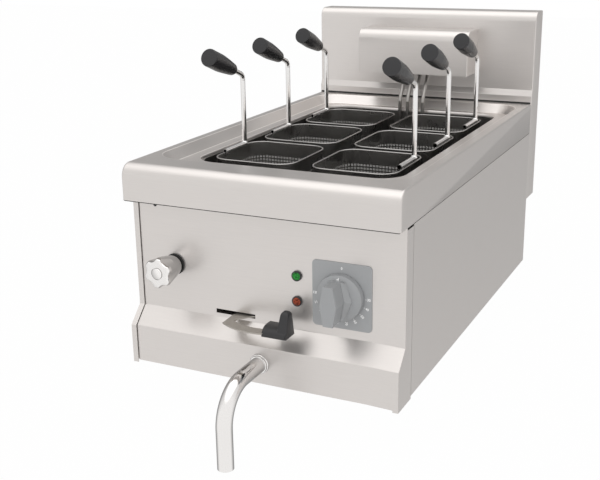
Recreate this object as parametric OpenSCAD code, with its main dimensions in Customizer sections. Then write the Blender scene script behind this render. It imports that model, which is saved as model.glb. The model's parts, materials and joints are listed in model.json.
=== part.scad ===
// Countertop electric pasta cooker: a folded steel cabinet under a pressed worktop, a welded water
// tank, a splash that carries the heater head, lift-out baskets, a fill tap, a thermostat and a
// drain valve worked by a lever. Millimetres, +Z up, front towards -Y, Z = 0 at the foot faces.

/* [Cabinet] */
// Width across the side panels
unit_w = 400; // [396:1:408]
// Depth from the lip to the back of the splash
unit_d = 700; // [696:1:708]
// Height of the worktop above the table
work_h = 300; // [298:1:304]
// Height of the feet
foot_h = 15; // [13:1:16]
// Radius of a foot
foot_r = 20; // [14:1:24]
// Sheet thickness of the cabinet panels
sheet_t = 1.2; // [1:0.1:1.4]
// Thickness of the base pan
base_t = 1.5; // [1.2:0.1:1.7]
// Height of the base pan's upturned edge
base_edge = 14; // [10:1:15]
// Spacing of the air slots in the base pan
vent_pitch = 16; // [15:0.5:17]
// Width of an air slot
vent_w = 6; // [5:0.5:7]
// Length of an air slot
vent_l = 70; // [60:2:80]
// Distance of the air slots before the rear
vent_back = 110; // [100:2:120]
// Gap between neighbouring panels
seam = 0.8; // [0.5:0.1:1]

/* [Front] */
// Set-back of the upper front panel behind the lip
panel_set = 26; // [24:0.5:28]
// Set-back of the lower front panel behind the lip
kick_set = 2.4; // [2:0.1:3.5]
// Height of the chamfer's upper edge
cham_top = 92; // [90:0.5:93]
// Height of the chamfer's lower edge
cham_bot = 68; // [66:0.5:70]
// Width of a corner post seen from the front
post_face = 7.8; // [6.8:0.1:9]
// How far a corner post stands in front of the panel beside it
post_proud = 2; // [1:0.1:2.2]
// Width of a corner post's flange behind the front panel
post_flange = 14; // [10:1:18]
// Depth of a corner post seen from the side, behind the upper panel's face
post_side = 21; // [18:0.5:24]
// Gap between a corner post and the worktop above it
post_gap = 3; // [2:0.5:4]

/* [Worktop and tank] */
// Sheet thickness of the worktop
top_t = 2; // [1.6:0.1:2.2]
// Depth of the lip and the side aprons
lip_h = 50; // [48:1:52]
// Radius of the lip's nose
nose_r = 18; // [14:1:22]
// Width of the flat border at each side of the recess
border_x = 20; // [18:1:22]
// Flat border in front of the recess, lip included
border_f = 54; // [52:1:56]
// Flat border behind the recess
border_r = 18; // [17:1:20]
// Depth of the recess round the tank
recess_h = 17; // [16:0.5:19]
// Corner radius of the recess
recess_r = 40; // [36:1:42]
// Ledge between recess wall and tank at each side
ledge_x = 26; // [24:0.5:28]
// Ledge in front of the tank
ledge_f = 60; // [57:1:62]
// Ledge behind the tank
ledge_r = 16.8; // [15.8:0.2:18]
// Depth of the tank below the ledge
tank_h = 191; // [189:1:193]
// Wall thickness of the tank
tank_t = 1.5; // [1.2:0.1:1.8]
// Corner radius of the tank
tank_r = 36; // [32:1:38]
// Width of the tank's welding flange
tank_fl = 7; // [5:0.5:8]

/* [Splash] */
// Depth of the splash behind the cabinet
splash_d = 50; // [46:1:54]
// Height of the splash above the worktop
splash_rise = 155; // [145:1:165]
// How far the splash reaches down behind the cabinet, below the worktop
splash_drop = 170; // [160:1:175]
// Height of the skirt above the worktop
skirt_h = 13; // [10:1:16]
// How far the skirt stands in front of the splash face
skirt_fwd = 4.5; // [3:0.5:6]
// Radius of the splash's front top edge
splash_r = 9; // [6:1:12]
// Depth of the rear lip of the splash
splash_lip = 22; // [16:1:28]

/* [Heater] */
// Width of the heater head
head_w = 200; // [190:1:210]
// Depth of the heater head
head_d = 62; // [58:1:66]
// Height of the heater head
head_h = 75; // [70:1:80]
// Height of the heater head above the worktop
head_up = 50; // [46:1:54]
// Radius of the heater head's front top edge
head_r = 14; // [10:1:18]
// Thickness of the plate that closes the head from below
flange_t = 2.5; // [2:0.5:3]
// Diameter of an element tube
tube_d = 6.5; // [6:0.1:7]
// Spacing of the four tubes where they go down
tube_pitch = 14; // [13.5:0.5:16]
// Distance from the tubes to the rear wall of the tank
tube_back = 18.2; // [17:0.2:20]
// Height of the tubes above the tank floor
tube_up = 10; // [9:0.5:11]
// Bend radius of an element tube
tube_bend = 16; // [14:1:17]
// Half-width of the outer run of the elements
run_out = 130; // [126:1:134]
// Half-width of the inner run of the elements
run_in = 62; // [58:1:66]
// Height of the perforated false bottom's upper face above the tank floor
false_up = 22; // [20:0.5:24]
// Thickness of the false bottom
false_t = 2; // [1.5:0.1:2.5]

/* [Baskets] */
// Gap between a basket's rim and the tank's side
side_gap = 14; // [13:0.25:16]
// Gap between the two columns of baskets
mid_gap = 25; // [22:0.5:28]
// Gap between the front baskets and the tank's front
front_gap = 19.25; // [17:0.25:22]
// Gap between the rear baskets and the tank's rear, for the elements
rear_gap = 44.25; // [42:0.25:46]
// Gap between two rows of baskets
row_gap = 16.5; // [15:0.5:18]
// Corner radius at the middle of the rim
basket_r = 25; // [22:1:27]
// Depth of the rim below the worktop
rim_drop = 16.5; // [15:0.5:18]
// Diameter of the rim
rim_d = 4; // [3.6:0.2:4.4]
// Sheet thickness of a basket
pan_t = 1; // [0.8:0.1:1.2]
// Hole radius in a basket's walls and bottom
perf_r = 2; // [2:0.1:3]
// Diameter of the handle rod
rod_d = 7; // [6.4:0.2:7.6]
// Length of the handle's seat along the rim
seat_l = 60; // [56:1:64]
// How far the seat lies outside the middle of the rim; below zero it lies inside
seat_out = -2.85; // [-3.15:0.05:-2.4]
// Height of the handle's bend above the rim
rod_up = 108; // [104:1:112]
// Bend radius of the handle
rod_bend = 10; // [8:1:12]
// Upward slope of the grip, degrees
grip_tilt = 21; // [18:1:24]
// Distance from the bend to the thin end of the grip
grip_from = 29; // [26:1:32]
// Length of the grip
grip_l = 73; // [68:1:78]
// Largest radius of the grip
grip_r = 12.8; // [11.5:0.1:14]

/* [Controls] */
// Thermostat's distance in from the right side
dial_x = 87.5; // [86:0.5:89]
// Thermostat's height above the table
dial_z = 149; // [147:0.5:151]
// Width of the dial plate
plate_w = 83; // [80:1:86]
// Height of the dial plate
plate_h = 90; // [87:1:93]
// Thickness of the dial plate
plate_t = 1.5; // [1.2:0.1:2]
// Radius of the thermostat knob's skirt
knob_r = 32.5; // [31:0.5:34]
// Length of the thermostat knob
knob_l = 44; // [42:1:47]
// Lamps' distance left of the thermostat
lamp_x = 63.8; // [62:0.2:65]
// Height of the upper lamp
lamp_z = 167.3; // [166:0.1:169]
// Distance between the lamps
lamp_pitch = 35; // [33:0.5:37]
// Radius of a lamp's bezel
lamp_r = 7; // [6.5:0.1:7.5]
// Tap's distance in from the left side
tap_x = 62; // [60:0.5:64]
// Height of the tap
tap_z = 158.7; // [157:0.1:160]
// Radius of the tap knob over its lobes
tap_r = 20.5; // [19:0.1:22]
// Length of the tap knob
tap_l = 42; // [40:1:44]
// Radius of the tap knob where it meets its gasket
tap_neck = 13.6; // [12.6:0.1:14]
// Depth of the tap knob's rounded front
tap_front = 6; // [5:0.5:7]
// Radius of the gasket behind the tap knob
gasket_r = 14.8; // [14.2:0.1:16]
// Thickness of the gasket behind the tap knob
gasket_t = 3; // [2.5:0.1:3.5]

/* [Drain] */
// Drain's distance right of the middle
drain_x = 2.5; // [1.5:0.5:3.5]
// Height of the drain
drain_z = 44; // [42.5:0.1:45]
// Outer diameter of the drain pipe
pipe_d = 22; // [21:0.2:23]
// Wall thickness of the drain pipe
pipe_t = 1.5; // [1.2:0.1:2]
// Reach of the drain pipe in front of the lower panel
pipe_reach = 99; // [92:1:104]
// Bend radius of the drain pipe
pipe_bend = 50; // [46:1:54]
// How far the drain pipe ends below the table
pipe_drop = 61; // [55:1:67]
// Valve's distance behind the upper panel's face
valve_set = 32; // [31:0.5:33]
// Bend radius of the elbow below the tank
outlet_bend = 24; // [22:1:26]
// Radius of the valve ball
ball_r = 20; // [19:0.5:20.5]
// Radius of the way through the ball
way_r = 9.5; // [8.5:0.1:9.5]
// Middle height of the lever
lever_z = 99; // [98.6:0.1:99.6]
// Thickness of the lever
lever_t = 2; // [1.6:0.1:2.1]
// Outer radius of the lever's arc
arc_out = 82.5; // [81:0.5:83]
// Width of the lever's arc
arc_w = 16; // [14:0.5:17]
// Left end of the lever slot, left of the drain
slot_l = 77.5; // [77.5:0.5:80]
// Right end of the lever slot, left of the drain
slot_r = 17.4; // [15:0.1:18]
// Height of the lever slot
slot_h = 4.6; // [4.4:0.1:5.2]
// How far the slot's middle lies above the lever's
slot_lift = 0.8; // [0.5:0.1:0.9]

/* [Services] */
// Distance of the feed pipe in from the left side
feed_in = 20.5; // [19:0.5:22]
// Height of the feed pipe along the side
feed_z = 70; // [66:1:74]
// Width of the tap's body
tap_body_w = 34; // [32:0.5:36]
// Depth of the tap's body behind the panel
tap_body_d = 38; // [36:0.5:40]
// Height of the tap's body
tap_body_h = 24; // [22:0.5:26]
// Distance of the fill pipe right of the tap
fill_x = 6.5; // [5:0.5:8]
// Depth of the fill pipe's way into the tank, below the weld
fill_drop = 18; // [16:0.5:20]
// Cable gland's distance in from the right side
gland_in = 70; // [64:1:76]
// Height of the cable gland
gland_z = 60; // [56:1:64]
// Width of the contactor
relay_w = 46; // [42:1:50]
// Length of the contactor
relay_l = 78; // [72:1:84]
// Height of the contactor's base
relay_h = 40; // [36:1:44]
// Height of the contactor's cover
relay_cover = 14; // [10:1:16]
// Step from the contactor's base in to its cover
relay_step = 6; // [4:0.5:8]
// Contactor's distance in from the right side
relay_in = 130; // [124:1:136]
// Length of the terminal block
block_l = 60; // [54:1:66]
// Width of the terminal block
block_w = 26; // [24:1:28]
// Height of the terminal block
block_h = 22; // [20:1:24]
// Terminal block's distance in from the right side
block_in = 100; // [94:1:106]
// Terminal block's distance before the rear
block_back = 80; // [74:1:86]
// Spacing of the terminals
pole_pitch = 11; // [9:0.5:12]
// Radius of a terminal
pole_r = 3; // [2:0.1:3.5]

/* [Clearances] */
// Radial play of a turning shaft
run_gap = 0.05; // [0.03:0.01:0.1]
// Play of a part that passes through a panel
pass_gap = 0.4; // [0.3:0.1:0.6]
// Gap behind a turning knob
knob_gap = 1; // [0.6:0.1:1.4]

/* [Hidden] */
$fn = 64;
hw = unit_w / 2;
y_lip = -unit_d / 2;
y_back = unit_d / 2;
y_rear = y_back - splash_d;
y_top = y_rear - sheet_t;
y_up = y_lip + panel_set;
y_low = y_lip + kick_set;
y_in = y_up + sheet_t;
y_seam = y_up + post_side;
x_in = hw - sheet_t;
x_post = hw - post_face;
x_panel = x_post - seam;
z_lip = work_h - lip_h;
z_post = z_lip - post_gap;
z_skirt = foot_h + seam;
z_foot = foot_h - 3;
recess_w = unit_w - 2 * border_x;
recess_y0 = y_lip + border_f;
recess_l = y_top - border_r - recess_y0;
recess_y = recess_y0 + recess_l / 2;
tank_w = recess_w - 2 * ledge_x;
tank_y0 = recess_y0 + ledge_f;
tank_l = recess_l - ledge_f - ledge_r;
tank_y = tank_y0 + tank_l / 2;
z_ledge = work_h - recess_h;
z_weld = z_ledge - top_t;
z_tank = z_ledge - tank_h;
z_false = z_tank + false_up;
y_face = y_rear + skirt_fwd;
z_splash = work_h + splash_rise;
z_hang = work_h - splash_drop;
z_bend = work_h + skirt_h;
y_head = y_face - head_d;
z_head = work_h + head_up;
tube_r = tube_d / 2;
y_tube = tank_y0 + tank_l - tube_back;
z_run = z_tank + tube_up;
basket_w = (tank_w - 2 * side_gap - mid_gap) / 2;
basket_l = (tank_l - front_gap - rear_gap - 2 * row_gap) / 3;
col_pitch = basket_w + mid_gap;
row_pitch = basket_l + row_gap;
row_mid = tank_y0 + front_gap + row_pitch + basket_l / 2;
z_rim = work_h - rim_drop;
rim_r = rim_d / 2;
rim_w = basket_w - rim_d;
rim_l = basket_l - rim_d;
rod_r = rod_d / 2;
z_seat = z_rim + sqrt(pow(rim_r + rod_r, 2) - pow(seat_out, 2));
z_elbow = z_rim + rod_up;
dial_plate_y = y_up - plate_t;
spindle_r = 3;
stem_r = 5;
tip_r = 3.5;
pipe_r = pipe_d / 2;
y_valve = y_up + valve_set;
z_lever = lever_z - lever_t / 2;
outlet_r = 12;
outlet_y = tank_y0 + 35;
slot_z = lever_z + slot_lift;
valve_half = ball_r + 6;
socket_half = valve_half + 12;
socket_in = 10;
way_turn = 60;
x_dial = hw - dial_x;
x_lamp = x_dial - lamp_x;
x_tap = hw - tap_x;
neck_r = 7.4;
dial_neck_r = 5;
tap_spindle_r = 4;
feed_r = 6;
x_feed = hw - feed_in;
x_fill = fill_x - x_tap;
z_fill = z_weld - fill_drop;
y_pipes = y_in + tap_body_d / 2 + 1;
x_gland = hw - gland_in;
z_floor = foot_h + base_t;
stud_r = 4;
screw_r = 2;
screw_pitch = unit_w / 4;
grip_hold = 40;
bead = 0.15;
steel = [0.82, 0.81, 0.79];
dark_steel = [0.35, 0.34, 0.33];
chrome = [0.86, 0.86, 0.88];
black = [0.10, 0.10, 0.11];
grey = [0.62, 0.63, 0.64];

// Unit vector along v
function unit(v) = v / norm(v);

// Angle between two unit vectors
function turn_of(a, b) = acos(max(-1, min(1, a * b)));

// Front profile of the cabinet in Y and Z, moved back by off
function front_line(z0, z1, off) = [
  [y_up + off, z1], [y_up + off, cham_top], [y_low + off, cham_bot], [y_low + off, z0]
];

// Same profile from the bottom up
function front_line_up(z0, z1, off) = [
  [y_low + off, z0], [y_low + off, cham_bot], [y_up + off, cham_top], [y_up + off, z1]
];

// Band of thickness th along the front profile
function front_band(z0, z1, off, th) = concat(front_line(z0, z1, off), front_line_up(z0, z1, off + th));

// Corner points of a hexagon of corner radius r
function hex_points(r) = [for (a = [30:60:330]) [r * cos(a), r * sin(a)]];

// A profile drawn in Y and Z, drawn out along X
module prism_x(x0, x1) {
  translate([x0, 0, 0])
    rotate([90, 0, 90])
      linear_extrude(x1 - x0)
        children();
}

// A shape built along its own Z, set on a front face so that Z points forward
module on_front(x, y, z) {
  translate([x, y, z])
    rotate([90, 0, 0])
      children();
}

// Rounded rectangle about the origin
module round_rect(w, d, r) {
  square([w - 2 * r, d], center = true);
  square([w, d - 2 * r], center = true);
  for (sx = [-1, 1])
    for (sy = [-1, 1])
      translate([sx * (w / 2 - r), sy * (d / 2 - r)])
        circle(r);
}

// Upright block with a rounded rectangular plan
module round_block(y, z0, z1, w, d, r) {
  translate([0, y, z0])
    linear_extrude(z1 - z0)
      round_rect(w, d, r);
}

// Quarter-round front top edge in Y and Z: a box with one rounded corner
module nose_profile(y0, y1, z0, z1, r) {
  translate([y0 + r, z0])
    square([y1 - y0 - r, z1 - z0]);
  translate([y0, z0])
    square([y1 - y0, z1 - z0 - r]);
  translate([y0 + r, z1 - r])
    circle(r);
}

// Straight rod between two points
module rod(p, q, r) {
  d = q - p;
  translate(p)
    rotate([0, acos(d[2] / norm(d)), atan2(d[1], d[0])])
      cylinder(r = r, h = norm(d));
}

// Round bend that starts at s along a and leaves along b
module bend(s, a, b, r, br) {
  n = unit(b - a * (a * b));
  ez = cross(a, n);
  up = abs(n[2]) > 0.9999;
  rx = up ? atan2(n[2] > 0 ? a[0] : -a[0], a[1]) : atan2(a[2], ez[2]);
  ry = asin(max(-1, min(1, n[2])));
  rz = up ? 0 : atan2(-n[1], -n[0]);
  translate(s + n * br)
    rotate([rx, ry, rz])
      rotate_extrude(angle = turn_of(a, b))
        translate([br, 0])
          circle(r);
}

// Round bar along three or more points, with bends of radius br; a slanting bend has weld beads
module bar_path(pts, r, br) {
  n = len(pts);
  dirs = [for (i = [0:n - 2]) unit(pts[i + 1] - pts[i])];
  cut = [for (i = [0:n - 1]) i == 0 || i == n - 1 ? 0 : br * tan(turn_of(dirs[i - 1], dirs[i]) / 2)];
  for (i = [0:n - 2])
    rod(pts[i] + dirs[i] * cut[i], pts[i + 1] - dirs[i] * cut[i + 1], r);
  for (i = [1:n - 2]) {
    bend(pts[i] - dirs[i - 1] * cut[i], dirs[i - 1], dirs[i], r, br);
    if (abs(dirs[i - 1] * dirs[i]) > 0.001)
      for (e = [-dirs[i - 1], dirs[i]])
        translate(pts[i] + e * cut[i])
          sphere(r + bead);
  }
}

// Places of the four feet
module at_feet() {
  for (sx = [-1, 1])
    for (y = [y_up + 40, y_rear - 40])
      translate([sx * (hw - 36), y, 0])
        children();
}

// Places of the rear screws
module at_screws() {
  for (k = [-1.5:1:1.5])
    translate([k * screw_pitch, y_rear, z_floor + base_edge / 2])
      rotate([-90, 0, 0])
        children();
}

// Base pan with an upturned edge, vent slots and foot holes
module base_pan() {
  y0 = y_low + 2 * sheet_t;
  color(steel)
    difference() {
      translate([-x_in, y0, foot_h])
        cube([2 * x_in, y_top - y0, base_t + base_edge]);
      translate([-x_in + sheet_t, y0 + sheet_t, foot_h + base_t])
        cube([2 * x_in - 2 * sheet_t, y_top - y0 - 2 * sheet_t, base_edge + 1]);
      for (i = [-5:5])
        translate([i * vent_pitch - vent_w / 2, y_rear - vent_back - vent_l, foot_h - 1])
          cube([vent_w, vent_l, base_t + 2]);
      at_feet()
        cylinder(r = stud_r + pass_gap, h = z_floor + 1);
      at_screws()
        translate([0, 0, -sheet_t - 3])
          cylinder(r = screw_r, h = 4);
    }
}

// Four feet with their studs
module feet() {
  color(black)
    at_feet() {
      cylinder(r1 = foot_r - 1, r2 = foot_r, h = 2);
      translate([0, 0, 2])
        cylinder(r = foot_r, h = foot_h - 2);
      translate([0, 0, foot_h])
        cylinder(r = stud_r, h = base_t + 10);
    }
}

// Nuts that hold the feet
module foot_nuts() {
  color(chrome)
    at_feet()
      translate([0, 0, z_floor])
        linear_extrude(6.5)
          difference() {
            polygon(hex_points(stud_r + 3.5));
            circle(stud_r);
          }
}

// Side panel with a joggle under the worktop's apron and a tab behind the corner post
module side_panel() {
  translate([x_in, y_seam + seam, z_skirt])
    cube([sheet_t, y_rear - y_seam - seam, z_lip - seam - z_skirt]);
  translate([hw - top_t - sheet_t, y_seam + seam, z_lip - 20])
    cube([top_t, y_top - 12 - y_seam, 20 - seam]);
  translate([hw - top_t - sheet_t, y_seam + seam, z_lip - seam - 1])
    cube([sheet_t, y_top - 12 - y_seam, 16]);
  translate([x_in - sheet_t, y_seam - 12, z_floor + base_edge + 4])
    cube([sheet_t, 24, z_lip - 26 - z_floor - base_edge - 4]);
}

module side_panel_right() {
  color(steel)
    side_panel();
}

module side_panel_left() {
  color(steel)
    mirror([1, 0, 0])
      side_panel();
}

// Corner post: front strip, side strip and a flange behind the front panel
module corner_post() {
  prism_x(x_post, hw)
    polygon(front_band(z_foot, z_post, -post_proud, sheet_t));
  prism_x(x_in, hw)
    polygon(concat(front_line(z_foot, z_post, -post_proud), [[y_seam, z_foot], [y_seam, z_post]]));
  prism_x(x_panel - post_flange, hw)
    polygon(front_band(z_skirt, z_post, sheet_t, sheet_t));
}

module corner_post_right() {
  color(steel)
    corner_post();
}

module corner_post_left() {
  color(steel)
    mirror([1, 0, 0])
      corner_post();
}

// Front panel with the openings for tap, lamps, thermostat, lever and drain
module front_panel() {
  color(steel)
    difference() {
      prism_x(-x_panel, x_panel)
        polygon(front_band(foot_h, z_lip + 6, 0, sheet_t));
      on_front(-x_tap, y_in + 1, tap_z)
        cylinder(r = neck_r + pass_gap, h = sheet_t + 2);
      on_front(x_dial, y_in + 1, dial_z)
        cylinder(r = dial_neck_r + pass_gap, h = sheet_t + 2);
      for (z = [lamp_z, lamp_z - lamp_pitch])
        on_front(x_lamp, y_in + 1, z)
          cylinder(r = lamp_r - 1.5 + pass_gap, h = sheet_t + 2);
      translate([drain_x - slot_l, y_up - 1, slot_z - slot_h / 2])
        cube([slot_l - slot_r, sheet_t + 2, slot_h]);
      on_front(drain_x, y_low + sheet_t + 1, drain_z)
        cylinder(r = pipe_r + pass_gap, h = sheet_t + 2);
    }
}

// Rear panel with louvres and the two service openings
module rear_panel() {
  color(steel)
    difference() {
      translate([-x_in, y_top, foot_h])
        cube([2 * x_in, sheet_t, work_h - 5 - foot_h]);
      for (i = [-6:6])
        translate([i * 12 - 3, y_top - 1, 50])
          cube([6, sheet_t + 2, 50]);
      translate([-x_feed, y_rear + 1, feed_z])
        rotate([90, 0, 0])
          cylinder(r = feed_r + pass_gap, h = sheet_t + 2);
      translate([x_gland, y_rear + 1, gland_z])
        rotate([90, 0, 0])
          cylinder(r = 9 + pass_gap, h = sheet_t + 2);
      at_screws()
        translate([0, 0, -sheet_t - 1])
          cylinder(r = screw_r, h = sheet_t + 2);
    }
}

// Screws through the rear panel into the base pan's edge
module panel_screws() {
  color(chrome)
    at_screws() {
      translate([0, 0, -2 * sheet_t])
        cylinder(r = screw_r, h = 2 * sheet_t);
      cylinder(r = 2 * screw_r, h = 2);
    }
}

// Outer form of the worktop, every face moved in by t
module worktop_form(t) {
  prism_x(-hw + t, hw - t)
    nose_profile(y_lip + t, y_top - t, z_lip, work_h - t, nose_r - t);
}

// Pressed worktop: rounded lip, aprons and a recess round the tank opening
module worktop() {
  color(steel)
    difference() {
      union() {
        difference() {
          worktop_form(0);
          translate([0, 0, -0.001])
            worktop_form(top_t);
        }
        translate([-hw + top_t / 2, y_lip + top_t / 2, z_lip])
          cube([unit_w - top_t, y_up - y_lip - top_t / 2, top_t]);
        round_block(recess_y, z_weld, work_h - top_t / 2, recess_w + 2 * top_t,
          recess_l + 2 * top_t, recess_r + top_t);
      }
      round_block(recess_y, z_ledge, work_h + 1, recess_w, recess_l, recess_r);
      round_block(tank_y, z_weld - 1, work_h, tank_w, tank_l, tank_r);
    }
}

// Water tank welded under the recess, with its outlet and fill openings
module tank() {
  color(steel)
    difference() {
      union() {
        round_block(tank_y, z_tank - tank_t, z_weld, tank_w + 2 * tank_t, tank_l + 2 * tank_t,
          tank_r + tank_t);
        round_block(tank_y, z_weld - tank_t, z_weld, tank_w + 2 * tank_fl, tank_l + 2 * tank_fl,
          tank_r + tank_fl);
      }
      round_block(tank_y, z_tank, z_weld + 1, tank_w, tank_l, tank_r);
      translate([drain_x, outlet_y, z_tank - tank_t - 1])
        cylinder(r = outlet_r, h = tank_t + 2);
      translate([x_fill, tank_y0 + tank_r / 2, z_fill])
        rotate([90, 0, 0])
          cylinder(r = feed_r, h = tank_t + tank_r / 2 + 2);
    }
}

// Perforated false bottom on six legs, over the elements
module false_bottom() {
  y0 = tank_y0 + 12;
  y1 = y_tube - 20;
  w = tank_w - 24;
  color(dark_steel)
    difference() {
      union() {
        round_block((y0 + y1) / 2, z_false - false_t, z_false, w, y1 - y0, tank_r - 8);
        for (sx = [-1, 1])
          for (y = [y0 + 30, (y0 + y1) / 2, y1 - 34])
            translate([sx * (w / 2 - 4) - 2, y - 6, z_tank])
              cube([4, 12, false_up - false_t / 2]);
      }
      for (ix = [-3:3])
        for (iy = [0:9])
          translate([ix * 36, y0 + 30 + iy * (y1 - y0 - 60) / 9, z_false - false_t - 1])
            cylinder(r = 7, h = false_t + 2, $fn = 8);
    }
}

// Outline of the splash in Y and Z, moved in by t and lengthened below by over
module splash_form(t, over) {
  polygon([
    [y_rear + t + 1.5 * skirt_fwd, z_hang - over], [y_rear + t + 1.5 * skirt_fwd, z_bend + 15],
    [y_rear + t, z_bend], [y_rear + t, z_hang - over]
  ]);
  nose_profile(y_face + t, y_back - t, z_hang - over, z_splash - t, splash_r - t);
}

// Folded splash, open behind below its rear lip
module splashback() {
  color(steel)
    difference() {
      prism_x(-hw, hw)
        splash_form(0, 0);
      prism_x(-hw + sheet_t, hw - sheet_t)
        splash_form(sheet_t, 1);
      translate([-hw + sheet_t + 14, y_back - sheet_t - 1, z_hang - 1])
        cube([unit_w - 2 * sheet_t - 28, sheet_t + 2, z_splash - splash_lip - z_hang + 1]);
      translate([0, y_face + sheet_t + 1, z_head + head_h / 2])
        rotate([90, 0, 0])
          cylinder(r = 14, h = sheet_t + 2);
    }
}

// Heater head: a cap with a rounded front edge, open to the splash and below
module head_box() {
  color(steel)
    difference() {
      prism_x(-head_w / 2, head_w / 2)
        nose_profile(y_head, y_face, z_head, z_head + head_h, head_r);
      prism_x(-head_w / 2 + sheet_t, head_w / 2 - sheet_t)
        nose_profile(y_head + sheet_t, y_face + 1, z_head - 1, z_head + head_h - sheet_t,
          head_r - sheet_t);
    }
}

// Centre lines of one element, from terminal to terminal
function element_line(s) = [
  [s * 1.5 * tube_pitch, y_tube + 33, z_head + 11], [s * 1.5 * tube_pitch, y_tube, work_h + 5],
  [s * 1.5 * tube_pitch, y_tube, z_run], [s * 1.5 * tube_pitch, y_tube - 40, z_run],
  [s * run_out, y_tube - 40, z_run], [s * run_out, tank_y0 + 60, z_run],
  [s * run_in, tank_y0 + 60, z_run], [s * run_in, y_tube - 68, z_run],
  [s * 0.5 * tube_pitch, y_tube - 68, z_run], [s * 0.5 * tube_pitch, y_tube, z_run],
  [s * 0.5 * tube_pitch, y_tube, work_h + 5], [s * 0.5 * tube_pitch, y_tube + 33, z_head + 11]
];

// Upper, sloping end of an element tube, for the holes in the head's plate
module element_end(x, r) {
  a = [x, y_tube, work_h + 5];
  b = [x, y_tube + 33, z_head + 11];
  rod(a + (b - a) * 0.3, a + (b - a) * 1.4, r);
}

// Plate that closes the heater head from below
module head_flange() {
  color(chrome)
    difference() {
      translate([-head_w / 2 + sheet_t, y_head + sheet_t, z_head + 1])
        cube([head_w - 2 * sheet_t, head_d - sheet_t, flange_t]);
      for (k = [-1.5, -0.5, 0.5, 1.5])
        element_end(k * tube_pitch, tube_r);
    }
}

// Two bent heating elements
module heating_elements() {
  color(dark_steel)
    for (s = [-1, 1])
      bar_path(element_line(s), tube_r, tube_bend);
}

// Centre line of the tank outlet
function outlet_line() = [
  [drain_x, outlet_y, z_tank - tank_t], [drain_x, outlet_y, drain_z],
  [drain_x, y_valve + socket_half - socket_in, drain_z]
];

// Elbow from the tank floor to the valve, with a welding flange
module outlet_elbow() {
  color(chrome)
    difference() {
      union() {
        bar_path(outlet_line(), outlet_r, outlet_bend);
        translate([drain_x, outlet_y, z_tank - tank_t - 2])
          cylinder(r = outlet_r + 8, h = 2);
      }
      bar_path(concat([[drain_x, outlet_y, z_tank + 1]], [
          [drain_x, outlet_y, drain_z], [drain_x, y_valve, drain_z]
        ]), outlet_r - 1.5, outlet_bend);
    }
}

// Body of the drain valve: ball chamber, two sockets and the bonnet of the stem
module valve_body() {
  z_bonnet = z_lever - 1;
  color(chrome)
    difference() {
      union() {
        on_front(drain_x, y_valve + valve_half, drain_z)
          cylinder(r = ball_r + 4.5, h = 2 * valve_half);
        on_front(drain_x, y_valve + socket_half, drain_z)
          cylinder(r = outlet_r + 4, h = 2 * socket_half + 1);
        translate([drain_x, y_valve, drain_z])
          cylinder(r = stem_r + 4, h = z_bonnet - drain_z);
      }
      translate([drain_x, y_valve, drain_z])
        sphere(ball_r + pass_gap);
      on_front(drain_x, y_valve + socket_half + 2, drain_z)
        cylinder(r = way_r, h = 2 * socket_half + 5);
      on_front(drain_x, y_valve + socket_half + 1, drain_z)
        cylinder(r = outlet_r, h = socket_in + 1);
      on_front(drain_x, y_valve - socket_half + socket_in, drain_z)
        cylinder(r = pipe_r, h = socket_in + 2);
      translate([drain_x, y_valve, drain_z])
        cylinder(r = stem_r + run_gap, h = z_lever - drain_z + 20);
    }
}

// Two-step collar where the drain pipe leaves the panel
module drain_collar() {
  color(chrome)
    on_front(drain_x, y_low, drain_z)
      difference() {
        union() {
          cylinder(r = pipe_r + 3, h = 3);
          translate([0, 0, 3])
            cylinder(r = pipe_r + 1.6, h = 3);
        }
        translate([0, 0, -1])
          cylinder(r = pipe_r, h = 8);
      }
}

// Centre line of the drain pipe, each end lengthened by over
function pipe_line(over) = [
  [drain_x, y_valve - socket_half + socket_in + over, drain_z], [drain_x, y_low - pipe_reach, drain_z],
  [drain_x, y_low - pipe_reach, -pipe_drop - over]
];

// Bent drain pipe, open at its lower end
module drain_pipe() {
  color(chrome)
    difference() {
      bar_path(pipe_line(0), pipe_r, pipe_bend);
      bar_path(pipe_line(1), pipe_r - pipe_t, pipe_bend);
    }
}

// Fill tap's body behind the panel, with its threaded neck
module tap_body() {
  color(chrome)
    difference() {
      union() {
        translate([-x_tap - tap_body_w / 2 + 1.5, y_in, tap_z - tap_body_h / 2])
          cube([tap_body_w, tap_body_d, tap_body_h]);
        on_front(-x_tap, y_in + 1, tap_z)
          cylinder(r = neck_r, h = sheet_t + gasket_t + 1);
      }
      on_front(-x_tap, y_in + 30, tap_z)
        cylinder(r = tap_spindle_r + run_gap, h = 40);
    }
}

// Gasket between the tap knob and the panel
module tap_gasket() {
  color(black)
    on_front(-x_tap, y_up, tap_z)
      difference() {
        cylinder(r = gasket_r, h = gasket_t);
        translate([0, 0, -1])
          cylinder(r = neck_r + pass_gap / 4, h = gasket_t + 2);
      }
}

// Centre line of the feed pipe from the rear inlet to the tap
function feed_line() = [
  [-x_feed, y_rear + 2, feed_z], [-x_feed, y_pipes, feed_z], [-x_feed, y_pipes, tap_z],
  [-x_tap - tap_body_w / 2 + 1.5, y_pipes, tap_z]
];

// Water pipe along the left side
module feed_pipe() {
  color(chrome)
    bar_path(feed_line(), feed_r, 16);
}

// Threaded inlet on the rear panel
module inlet_union() {
  color(chrome)
    translate([-x_feed, y_rear, feed_z])
      rotate([-90, 0, 0])
        difference() {
          union() {
            cylinder(r = 13, h = 3);
            translate([0, 0, 3])
              cylinder(r = 10.4, h = 15);
          }
          translate([0, 0, -1])
            cylinder(r = feed_r, h = 3);
          translate([0, 0, 2])
            cylinder(r = feed_r - 1, h = 20);
        }
}

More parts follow.
